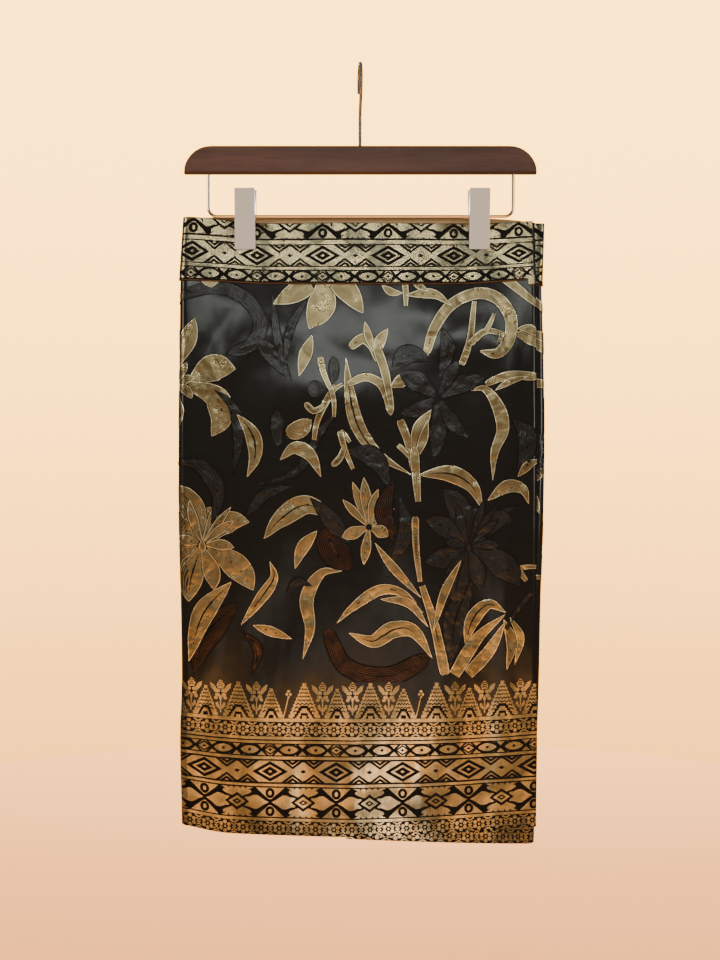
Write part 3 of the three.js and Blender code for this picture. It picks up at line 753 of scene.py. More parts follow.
@dataclass
class WrapSheet:
    """A stretch of cloth on the wrap, given by the runs and depths of its grid and how far out it lies."""

    name: str
    runs: Array
    downs: Array
    lift: float
    thickness: float
    finish: Thread

    def build(self) -> bpy.types.Object:
        """Makes the sheet and gives it thickness."""
        run, down = np.meshgrid(self.runs, self.downs)
        points = DRAPE.place(run.ravel(), down.ravel(), self.lift)
        made = new_object(self.name, points, grid_cells(*run.shape).tolist())
        keep(made.data, run=run.ravel(), down=down.ravel())
        shell = made.modifiers.new("thickness", "SOLIDIFY")
        shell.thickness = self.thickness / 1000
        shell.offset = -1.0
        made.data.materials.append(self.finish.material())
        return made


@dataclass
class Cloth:
    """The black satin of the wrap: front, back and underlap in one shell."""

    pitch: float = 5.0
    thickness: float = 0.5

    def build(self) -> bpy.types.Object:
        """Makes the satin, which takes the place of the body's three solids."""
        runs, downs = wrap_runs(0.0, self.pitch), steps((1.5, CUT_HEIGHT), (self.pitch,))
        sheet = WrapSheet("cloth_satin", runs, downs, 0.5, self.thickness, Thread.SATIN)
        satin = sheet.build()
        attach(satin, "root")
        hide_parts("body_front", "body_back", "body_underlap")
        LOG.info("satin: %d faces", len(satin.data.polygons))
        return satin


Shape = list[Point]
BOTH = ((1, 1), (-1, 1))
UP_DOWN = ((1, 1), (1, -1))
ALL_FOUR = ((1, 1), (-1, 1), (1, -1), (-1, -1))


def diamond(half_width: float, half_height: float) -> Shape:
    """Returns a diamond about the origin."""
    return [(-half_width, 0), (0, -half_height), (half_width, 0), (0, half_height)]


def oval(half_width: float, half_height: float, sides: int = 12, power: float = 1.0) -> Shape:
    """Returns an oval about the origin. A power above 1 gives it pointed ends at the left and right."""
    turns = [2 * math.pi * i / sides for i in range(sides)]
    return [
        (half_width * math.cos(a), half_height * math.copysign(abs(math.sin(a)) ** power, math.sin(a)))
        for a in turns
    ]


def stroke(points: Shape, width: float) -> Shape:
    """Returns a band of the given width along a line of points."""
    line = np.asarray(points, float)
    side = sideways(line, width / 2)
    return [tuple(p) for p in np.concatenate([line + side, (line - side)[::-1]]).tolist()]


def stair(half_width: float, height: float, count: int, cap: float = 0.0) -> Shape:
    """Returns a stepped peak that stands on the origin and rises towards smaller q."""
    right = []
    for i in range(count):
        wide = cap + (half_width - cap) * (count - i) / count
        right += [(wide, -height * i / count), (wide, -height * (i + 1) / count)]
    return right + [(-x, y) for x, y in reversed(right)]


@dataclass
class Loom:
    """One repeat of woven figures, painted one over another in threads of the weave.

    A figure's places are p, threads to the viewer's right, and q, threads down; a repeat of the main
    figures is 66 threads wide.
    """

    period: float
    top: float
    bottom: float
    thread: float = THREAD
    shapes: list[tuple[Shape, Thread]] = field(default_factory=list)

    def paint(
        self,
        finish: Thread,
        shape: Shape,
        at: Point = (0.0, 0.0),
        flips: Sequence[Point] = ((1, 1),),
        about: Point = (0.0, 0.0),
    ) -> None:
        """Paints a shape, and again in each flip of it.

        Args:
            finish: The shape's threads.
            shape: Its corners.
            at: Where its origin goes, from the place it is flipped about.
            flips: The signs of p and q of each copy.
            about: The place that the copies are flipped about.
        """
        for flip_p, flip_q in flips:
            moved = [
                (about[0] + flip_p * (p + at[0]), about[1] + flip_q * (q + at[1])) for p, q in shape
            ]
            low, high = min(p for p, _ in moved), max(p for p, _ in moved)
            for turn in (-2, -1, 0, 1, 2):
                if high + turn * self.period > 0 and low + turn * self.period < self.period:
                    copy = [(-(p + turn * self.period) * self.thread, q * self.thread) for p, q in moved]
                    self.shapes.append((copy, finish))

    def line(self, finish: Thread, start: float, end: float) -> None:
        """Paints a straight band right across, from one q to another."""
        self.shapes.append((self.across(start * self.thread, end * self.thread), finish))

    def across(self, start: float, end: float) -> Shape:
        """Returns a rectangle as wide as the repeat, in millimetres."""
        width = self.period * self.thread
        return [(-width, start), (0.0, start), (0.0, end), (-width, end)]

    def faces(self) -> tuple[Array, list[list[int]], list[Thread]]:
        """Returns points, triangles and each triangle's finish, with later shapes over earlier ones."""
        corners: list[Vector] = []
        rings: list[list[int]] = []
        for shape, _ in self.shapes:
            area = sum(a[0] * b[1] - b[0] * a[1] for a, b in zip(shape, shape[1:] + shape[:1]))
            ring = list(range(len(corners), len(corners) + len(shape)))
            corners += [Vector(p) for p in shape]
            rings.append(ring if area > 0 else ring[::-1])
        points, _, cells, _, _, sources = delaunay_2d_cdt(corners, [], rings, 0, 1e-4)
        flat = np.array([tuple(p) for p in points])
        width = self.period * self.thread
        kept, finishes = [], []
        for cell, source in zip(cells, sources):
            middle = flat[list(cell)].mean(axis=0)
            inside = -width < middle[0] < 0 and self.top < middle[1] < self.bottom
            if source and inside:
                kept.append(list(cell))
                finishes.append(self.shapes[max(source)][1])
        return flat, kept, finishes


class Songket:
    """The figures of the border's rows, in threads. Each method paints one row whose top lies at q."""

    def __init__(self, loom: Loom) -> None:
        """Takes the loom to paint on in gold and in black."""
        self.loom = loom
        self.gold = partial(loom.paint, Thread.GOLD)
        self.black = partial(loom.paint, Thread.BLACK)

    def nest(self, place: Point, *sizes: Point) -> None:
        """Paints diamonds one inside another, black and gold in turn, from the outermost."""
        for paint, size in zip((self.black, self.gold) * 2, sizes):
            paint(diamond(*size), place)

    def teeth(self, q: float) -> None:
        """Paints the row of stepped peaks, with flowers on stems between them, 38 threads high."""
        foot = q + 36.5
        cores = (11.4, 14.0, 5, 2.6), (8.8, 11.2, 5, 1.2), (4.6, 6.6, 2, 2.4), (2.2, 4.2, 1, 2.2)
        large = (15.5, 35.0, 10, 0.4), cores
        small = (12.5, 29.5, 9, 0.3), ((8.0, 11.0, 5, 2.6), (5.6, 8.2, 5, 1.2), (2.4, 4.6, 2, 2.4))
        for peak, rows, (body, cores) in ((34.0, 7, large), (0.9, 6, small)):
            wide, tall, *_ = body
            self.gold(stair(*body), (peak, foot))
            for row in range(rows):
                low = -6.0 - 3.7 * row
                reach = (wide - 1.6) * (tall + low - 1.0) / tall
                zig = [(reach * i / 4, low - (1.6 if i % 2 else 0)) for i in range(-4, 5)]
                self.black(stroke(zig, 1.3), (peak, foot))
            for paint, core in zip((self.black, self.gold) * 2, cores):
                paint(stair(*core), (peak, foot + 1.5))
        self.flower((52.3, q))

    def sprigs(self, q: float) -> None:
        """Paints, over two repeats, the thin twig and the flower that take turns beside the large peak."""
        twig = (16.2, q)
        self.gold(stroke([(-2.8, 35), (-0.4, 26), (1.8, 16)], 1.1), twig)
        for across, down, size in ((0.4, 12.6, 1.5), (4.0, 12.8, 1.4), (2.2, 9.8, 1.7), (2.2, 15.4, 1.2)):
            self.gold(oval(size, size, 6), (twig[0] + across, q + down))
        self.flower((82.2, q))

    def flower(self, place: Point) -> None:
        """Paints the flower that stands between two peaks."""
        heart = [(0.9, 27.0), (3.2, 22.6), (5.2, 24.2), (4.2, 27.4), (0.9, 30.2)]
        self.gold(stroke([(0, 16), (0, 33)], 1.3), place)
        self.gold(heart, flips=BOTH, about=place)
        dome = [(-2.6, 9.4), (-4.0, 5.6), (-2.4, 2.6), (0, 0.4), (2.4, 2.6), (4.0, 5.6), (2.6, 9.4)]
        leaf = [(3.0, 12.0), (5.2, 7.2), (8.0, 4.6), (10.8, 3.4), (10.0, 8.4), (7.0, 11.6), (5.4, 13.6)]
        self.gold(dome, place)
        for row in (3.2, 5.2, 7.2):
            self.black(stroke([(-2.8, row + 0.4), (0, row - 0.8), (2.8, row + 0.4)], 0.8), place)
        self.gold(leaf, flips=BOTH, about=place)
        for wide, tall, at in ((2.3, 2.0, (2.8, 11.6)), (2.5, 2.1, (3.2, 15.8)), (2.0, 1.7, (4.8, 18.6))):
            self.gold(oval(wide, tall, 8), at, BOTH, place)
        self.gold(diamond(1.6, 3.0), (0, 18.6), about=place)
        self.black(diamond(0.9, 1.2), (0, 13.8), about=place)

    def small_flowers(self, q: float) -> None:
        """Paints a row of round flowers with stacked chevrons between them, 14 threads high."""
        middle, half = q + 7.0, self.loom.period / 2
        for turn in range(6):
            angle = math.radians(60 * turn + 30)
            spot = (half + 4.5 * math.cos(angle), middle + 4.3 * math.sin(angle))
            self.gold(oval(2.05, 2.05, 8), spot)
        self.gold(oval(1.3, 1.3, 6), (half, middle))
        for row, peak in ((-5.6, 2.2), (-2.6, 2.2), (0.2, 0.1), (2.8, -2.2), (5.8, -2.2)):
            wide = 1.9 if abs(row) < 1 else 2.6 if abs(row) < 3.5 else 4.2
            bend = [(-wide, row - peak / 2), (0, row + peak / 2), (wide, row - peak / 2)]
            self.gold(stroke(bend, 1.5), (0, middle))

    def eyes(self, q: float) -> None:
        """Paints pairs of eyes with small diamonds between the pairs, 12 threads high."""
        loom, middle = self.loom, q + 6.0
        loom.line(Thread.GOLD, q + 0.5, q + 11.6)
        slant = stroke([(-6.0, -6.0), (6.0, 6.0)], 2.0)
        for cross in (8.2, 32.2, 57.4):
            self.black(slant, (cross, 0), UP_DOWN, (0, middle))
        for eye in (18.9, 45.5):
            self.black(oval(13.2, 6.4, 16, 1.8), (eye, middle))
            self.gold(oval(9.2, 4.1, 16, 1.6), (eye, middle))
            self.black(oval(1.7, 1.4, 8), (eye, middle))
        self.nest((0, middle), (7.8, 5.4), (5.2, 3.5), (2.0, 1.4))

    def diamonds(self, q: float) -> None:
        """Paints nested diamonds with lozenges and chevrons between them, 22 threads high."""
        loom, middle = self.loom, q + 11.0
        loom.line(Thread.GOLD, q + 0.5, q + 21.5)
        self.nest((0, middle), (17.8, 10.2), (12.0, 6.8), (8.2, 4.9), (2.2, 1.4))
        self.black(diamond(3.2, 1.9), (33, middle))
        for drop, wide in ((3.4, 5.6), (7.4, 10.2)):
            chevron = stroke([(-wide, -11.4), (0, drop - 11.0), (wide, -11.4)], 2.6)
            self.black(chevron, (10.5, 0), ALL_FOUR, (33, middle))
        self.black([(-2.0, -11), (2.0, -11), (0, -8.9)], flips=UP_DOWN, about=(33, middle))

    def rings(self, q: float) -> None:
        """Paints crossing lines with rings, and lobed diamonds with leaf cups, 30 threads high."""
        middle = q + 15.0
        wedge = [(-14.0, -14.5), (14.0, -14.5), (7.4, -8.4), (1.0, -3.0), (-1.0, -3.0), (-7.4, -8.4)]
        self.gold(wedge, flips=UP_DOWN, about=(0, middle))
        self.black(oval(4.7, 5.2, 12), (0, -9.1), UP_DOWN, (0, middle))
        self.gold(oval(1.8, 2.4, 10), (0, -9.1), UP_DOWN, (0, middle))
        rim = [(8.0, -4.6), (12.0, -4.8), (16.0, -6.6), (20.0, -7.0), (23.4, -5.0), (26.6, -2.6)]
        lobe = [*rim, (31.6, 0), *((x, -y) for x, y in reversed(rim))]
        self.gold(lobe, flips=BOTH, about=(33, middle))
        cup = [
            (0, -14.5), (0, -6.0), (4.0, -4.8), (8.2, -6.6), (12.0, -8.0),
            (14.6, -10.0), (13.6, -12.0), (11.4, -11.0), (13.0, -13.2), (16.2, -14.5),
        ]
        self.gold(cup, flips=ALL_FOUR, about=(33, middle))
        self.nest((33, middle), (12.4, 9.0), (8.6, 5.8), (4.6, 2.9), (1.9, 1.1))
        for tooth in (3.0, 8.6):
            self.black([(-1.2, -14.6), (1.2, -14.6), (0, -12.6)], (tooth, 0), ALL_FOUR, (33, middle))


@dataclass
class WovenBorder:
    """A border of woven figures, repeated along the wrap from an origin and laid on the cloth's form."""

    name: str
    loom: Loom
    origin: float
    runs: Point
    lift: float
    refine: float = 5.9
    fold_reach: float = 13.2
    fold_pitch: float = 1.65

    def repeat(self) -> tuple[bmesh.types.BMesh, list[Thread]]:
        """Returns one repeat, cut small enough to follow the cloth, and its finishes."""
        flat, cells, finishes = self.loom.faces()
        order = list(dict.fromkeys(finishes))
        mesh = bmesh.new()
        corners = [mesh.verts.new((x, y, 0)) for x, y in flat.tolist()]
        for cell, finish in zip(cells, finishes):
            mesh.faces.new([corners[i] for i in cell]).material_index = order.index(finish)
        bmesh.ops.delete(mesh, geom=[v for v in mesh.verts if not v.link_faces], context="VERTS")
        width = self.loom.period * self.loom.thread
        for place in steps((-width, 0.0), (self.refine,))[1:-1]:
            self.cut(mesh, place, (1, 0, 0))
        for place in steps((self.loom.top, self.loom.bottom), (self.refine,))[1:-1]:
            self.cut(mesh, place, (0, 1, 0))
        self.cut(mesh, self.loom.top, (0, 1, 0), drop=-1)
        self.cut(mesh, self.loom.bottom, (0, 1, 0), drop=1)
        return mesh, order

    def cut(
        self,
        mesh: bmesh.types.BMesh,
        place: float,
        axis: Sequence[int],
        reach: Optional[Point] = None,
        drop: int = 0,
    ) -> None:
        """Cuts the mesh across an axis.

        Args:
            mesh: The mesh, flat in X and Y.
            place: Where along the axis the cut goes.
            axis: The axis.
            reach: The X range of the faces that are cut, or None for all.
            drop: 1 or -1 removes what lies above or below the cut.
        """
        faces = [f for f in mesh.faces if not reach or reach[0] < f.calc_center_median().x < reach[1]]
        parts = list({v for f in faces for v in f.verts}) + list({e for f in faces for e in f.edges}) + faces
        plane = {"plane_co": Vector(axis) * float(place), "plane_no": axis}
        bmesh.ops.bisect_plane(
            mesh, geom=parts, dist=1e-4, clear_outer=drop > 0, clear_inner=drop < 0, **plane
        )

    def build(self) -> bpy.types.Object:
        """Makes the border and lays it on the wrap."""
        tile, finishes = self.repeat()
        width = self.loom.period * self.loom.thread
        tile.verts.index_update()
        flat = np.array([v.co[:2] for v in tile.verts])
        cells = [[v.index for v in f.verts] for f in tile.faces]
        looks = [f.material_index for f in tile.faces]
        tile.free()
        first = math.floor((self.runs[0] - self.origin) / width)
        last = math.ceil((self.runs[1] - self.origin) / width)
        points, faces, indices = [], [], []
        for turn in range(first + 1, last + 1):
            faces += [[i + len(points) * len(flat) for i in cell] for cell in cells]
            points.append(flat + (self.origin + turn * width, 0.0))
            indices += looks
        mesh = bpy.data.meshes.new(self.name)
        whole = np.concatenate(points)
        mesh.from_pydata(np.pad(whole, ((0, 0), (0, 1))).tolist(), [], faces)
        mesh.polygons.foreach_set("material_index", indices)
        work = bmesh.new()
        work.from_mesh(mesh)
        for fold in FOLDS:
            for place in np.arange(fold - self.fold_reach, fold + self.fold_reach + 0.1, self.fold_pitch):
                self.cut(work, place, (1, 0, 0), (place - 9, place + 9))
        self.cut(work, self.runs[0], (1, 0, 0), drop=-1)
        self.cut(work, self.runs[1], (1, 0, 0), drop=1)
        bmesh.ops.reverse_faces(work, faces=[f for f in work.faces if f.normal.z < 0])
        work.to_mesh(mesh)
        work.free()
        place = np.empty(len(mesh.vertices) * 3, np.float32)
        mesh.vertices.foreach_get("co", place)
        run, down = place[0::3].astype(float), place[1::3].astype(float)
        mesh.vertices.foreach_set("co", DRAPE.place(run, down, self.lift).astype(np.float32).ravel())
        mesh.shade_smooth()
        keep(mesh, run=run, down=down)
        lay_flat(mesh, run, down)
        for finish in finishes:
            mesh.materials.append(finish.material())
        made = bpy.data.objects.new(self.name, mesh)
        bpy.context.collection.objects.link(made)
        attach(made, "root")
        LOG.info("%s: %d faces", self.name, len(mesh.polygons))
        return made


@dataclass
class HemBorder:
    """The gold border along the hem: peaks, then five rows of figures between gold lines.

    Its top is in millimetres, and the lines and rows are in threads below it.
    """

    top: float = 492.4
    origin: float = 144.5
    runs: Point = (0.0, WRAP_LENGTH)
    lift: float = 0.7
    upper_lift: float = 0.85
    lines: tuple[Point, ...] = (
        (37.8, 41.4), (56.1, 58.9), (60.4, 62.8), (76.2, 78.8), (103.4, 106.0), (137.6, 140.4)
    )

    def build(self) -> list[bpy.types.Object]:
        """Makes the border, the flowers beside its peaks and its two rows of small flowers."""
        top, bottom = self.top / THREAD, CUT_HEIGHT / THREAD
        loom = Loom(66.0, self.top, CUT_HEIGHT)
        loom.line(Thread.BLACK, top + 37.6, bottom)
        figures = Songket(loom)
        figures.teeth(top + 1.0)
        for start, end in self.lines:
            loom.line(Thread.GOLD, top + start, top + end)
        figures.eyes(top + 63.4)
        figures.diamonds(top + 80.0)
        figures.rings(top + 106.8)
        loom.line(Thread.GOLD, bottom - 2.6, bottom - 1.2)
        rows = [WovenBorder("border_hem", loom, self.origin, self.runs, self.lift).build()]
        fine = Loom(132.0, self.top, (top + 37.5) * THREAD)
        Songket(fine).sprigs(top + 1.0)
        rows.append(WovenBorder("border_sprigs", fine, self.origin, self.runs, self.upper_lift, 5.0).build())
        for name, start in (("border_flowers_upper", 41.8), ("border_flowers_lower", 140.7)):
            small = Loom(18.1, (top + start) * THREAD, (top + start + 14) * THREAD)
            small.line(Thread.BLACK, top + start, top + start + 14)
            Songket(small).small_flowers(top + start)
            rows.append(WovenBorder(name, small, 150.0, self.runs, self.upper_lift, 5.0).build())
        return rows


@dataclass
class Trim:
    """Yarn laid along a line on the wrap: one piece as piping, or many short ones as stitches."""

    name: str
    finish: Thread
    radius: float
    sides: int = 8
    taper: float = 0.45

    def build(self, lines: Sequence[Shape], lift: float) -> bpy.types.Object:
        """Makes a closed tube along each line.

        Args:
            lines: The points of each line, as places on the wrap.
            lift: How far the yarn's middle lies outside the cloth's middle surface.

        Returns:
            The piece.
        """
        turn = np.arange(self.sides) * 2 * math.pi / self.sides
        points, faces, start = [], [], 0
        for line in lines:
            path = np.asarray(line, float)
            size = np.full(len(path), self.radius)
            size[[0, -1]] *= self.taper
            reach = (size[:, None] * np.cos(turn))[..., None]
            spread = path[:, None, :] + sideways(path)[:, None, :] * reach
            rise = lift + size[:, None] * np.sin(turn)
            points.append(DRAPE.place(spread[..., 0].ravel(), spread[..., 1].ravel(), rise.ravel()))
            for row in range(len(path) - 1):
                for i in range(self.sides):
                    j = (i + 1) % self.sides
                    low, high = start + row * self.sides, start + (row + 1) * self.sides
                    faces.append((low + i, low + j, high + j, high + i))
            faces.append(tuple(range(start, start + self.sides))[::-1])
            start += len(path) * self.sides
            faces.append(tuple(range(start - self.sides, start)))
        made = new_object(self.name, np.concatenate(points), faces)
        made.data.materials.append(self.finish.material())
        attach(made, "root")
        LOG.info("%s: %d faces", self.name, len(made.data.polygons))
        return made


def stitches(start: Point, end: Point, pitch: float = 4.0, length: float = 2.8) -> list[Shape]:
    """Returns short lines from start to end, one to each stitch."""
    (ax, ay), (bx, by) = start, end
    whole = math.hypot(bx - ax, by - ay)
    ways = [(i * pitch / whole, (i * pitch + length) / whole) for i in range(int(whole // pitch))]
    marks = [[a + (b - a) * t for t in (0.0, 0.3, 0.7, 1.0)] for a, b in ways]
    return [[(ax + (bx - ax) * t, ay + (by - ay) * t) for t in line] for line in marks]


@dataclass
class Waistband:
    """The strip of border cloth sewn round the top, with its piping, facing and stitched end."""

    facing_runs: Point = (404.0, 756.0)

    def strip(self) -> bpy.types.Object:
        """Makes the waistband's cloth."""
        runs, downs = wrap_runs(2.5, pitch=8.0), steps((0.0, BAND_HEIGHT), (6.5,))
        sheet = WrapSheet("waistband_cloth", runs, downs, lift=2.0, thickness=1.2, finish=Thread.BLACK)
        cloth = sheet.build()
        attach(cloth, "root")
        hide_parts("waistband_front", "waistband_back", "waistband_underlap")
        return cloth

    def weave(self) -> bpy.types.Object:
        """Makes the figures woven in the waistband."""
        loom = Loom(66.0, 0.4, 64.0)
        loom.line(Thread.BLACK, -20, 66)
        figures = Songket(loom)
        figures.rings(-14.0)
        loom.line(Thread.BLACK, 16.2, 17.2)
        loom.line(Thread.GOLD, 17.2, 21.1)
        figures.diamonds(21.7)
        loom.line(Thread.GOLD, 44.2, 47.0)
        figures.eyes(47.8)
        return WovenBorder("waistband_weave", loom, 159.6, (3.0, WRAP_LENGTH - 0.5), 2.05).build()

    def piping(self) -> bpy.types.Object:
        """Makes the dark copper piping along the waistband's lower edge; its darkness is partly painted
        shadow of the gap under the band.
        """
        line = [(float(run), BAND_HEIGHT + 0.4) for run in wrap_runs(1.6, fold_pitch=1.0)]
        piping = Trim("waistband_piping_and_shadow", Thread.COPPER_AND_SHADOW, 0.9).build([line], 1.7)
        return piping

    def end_fold(self) -> bpy.types.Object:
        """Makes the small thick turning at the lower corner of the strip's free end."""
        runs, downs = steps((1.2, 8.6), (1.2,)), steps((60.0, 71.0), (1.2,))
        sheet = WrapSheet("waistband_turning", runs, downs, lift=3.3, thickness=1.2, finish=Thread.GOLD)
        fold = sheet.build()
        rounding = fold.modifiers.new("rounding", "BEVEL")
        rounding.width, rounding.segments = 0.0004, 2
        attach(fold, "root")
        return fold

    def facing(self) -> bpy.types.Object:
        """Makes the tan facing on the back's inner face, and its seam."""
        runs, downs = steps(self.facing_runs, (6.0,)), steps((0.2, BAND_HEIGHT), (5.0,))
        facing = WrapSheet("facing_cloth", runs, downs, lift=-0.1, thickness=0.9, finish=Thread.TAN).build()
        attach(facing, "root")
        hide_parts("waistband_facing")
        start, end = self.facing_runs
        seams = [
            *stitches((start + 4, 2.6), (end - 4, 2.6)),
            *stitches((start + 4, BAND_HEIGHT - 3), (end - 4, BAND_HEIGHT - 3)),
        ]
        seam = Trim("facing_seam", Thread.SEAM, 0.28, 6).build(seams, -1.0)
        return facing

    def build(self) -> None:
        """Makes the waistband, its stitched seams and its facing."""
        cloth = self.strip()
        edges = [
            *stitches((4.6, 3.0), (4.6, 59.0)),
            *stitches((6.2, 4.5), (6.2, 59.0)),
            *stitches((WRAP_LENGTH - 3.5, 3.0), (WRAP_LENGTH - 3.5, 62.0)),
            *stitches((12.0, 63.4), (WRAP_LENGTH - 5, 63.4)),
        ]
        seam = Trim("waistband_seam", Thread.STITCH, 0.3, 6).build(edges, 2.15)
        parts = [self.weave(), self.piping(), self.end_fold(), seam]
        self.facing()


class Form(Enum):
    """How a ribbon's width changes from its first point to its last."""

    LEAF = ((0.0, 0.04), (0.14, 0.5), (0.42, 1.0), (0.74, 0.66), (0.92, 0.24), (1.0, 0.03))
    PETAL = ((0.0, 0.3), (0.2, 0.62), (0.52, 1.0), (0.78, 0.74), (0.93, 0.3), (1.0, 0.03))
    BLADE = ((0.0, 0.85), (0.3, 1.0), (0.62, 0.78), (0.88, 0.34), (1.0, 0.04))
    STEM = ((0.0, 0.55), (0.03, 0.95), (0.35, 0.94), (0.7, 0.8), (1.0, 0.6))
    CURL = ((0.0, 0.35), (0.04, 0.75), (0.3, 1.0), (0.8, 1.08), (0.94, 0.8), (1.0, 0.15))
    BUD = ((0.0, 0.2), (0.12, 0.72), (0.4, 1.0), (0.72, 0.84), (0.92, 0.4), (1.0, 0.06))


@dataclass(frozen=True)
class Ribbon:
    """A woven leaf, petal or stem, in threads: its form, width, spine, and whether it has a vein."""

    form: Form
    width: float
    spine: Shape
    vein: bool = False


def petal(
    centre: Point,
    angle: float,
    length: float,
    width: float,
    bend: float,
    start: float = 4.0,
    vein: bool = False,
) -> Ribbon:
    """Returns a petal of a flower.

    Args:
        centre: The flower's middle.
        angle: Degrees from the viewer's right, turning upwards.
        length: From the middle to the tip.
        width: At its widest.
        bend: How far its middle is pushed to its left.
        start: How far from the middle it begins.
        vein: Whether it has a vein.

    Returns:
        The petal's ribbon.
    """
    turn = math.radians(angle)
    (ax, ay), (sx, sy) = (math.cos(turn), -math.sin(turn)), (-math.sin(turn), -math.cos(turn))
    spine = []
    for t in (0.0, 0.35, 0.7, 1.0):
        reach, push = start + (length - start) * t, bend * math.sin(math.pi * t * 0.85)
        spine.append((centre[0] + ax * reach + sx * push, centre[1] + ay * reach + sy * push))
    return Ribbon(Form.PETAL, width, spine, vein)


def blossom(centre: Point, rows: Sequence[Sequence[float]], start: float = 4.0) -> list[Ribbon]:
    """Returns a petal for each row of angle, length, width and bend."""
    return [petal(centre, *row, start) for row in rows]


def lily(centre: Point) -> list[Ribbon]:
    """Returns a wide open lily: large outer petals, then narrow inner ones and the heart over them."""
    outer = (
        (62, 40, 19, 8), (118, 64, 24, -9), (152, 52, 20, -6), (196, 46, 20, 4), (228, 40, 17, 6),
        (22, 52, 21, 13), (316, 66, 26, 9), (258, 60, 23, -4), (282, 46, 17, 3),
    )
    inner = (
        (104, 45, 9, 2), (72, 50, 8, -1), (54, 48, 7, 1), (38, 40, 9, 2), (356, 31, 11, 2), (168, 24, 11, 0)
    )
    petals = [petal(centre, *row, 6.0, vein=row[0] in (118, 258)) for row in outer]
    return petals + blossom(centre, inner) + [petal(centre, 270, 8, 7, 0, -4.0)]


# Short names for the Garden's rows.
L, P, B, S, C, U = Form.LEAF, Form.PETAL, Form.BLADE, Form.STEM, Form.CURL, Form.BUD


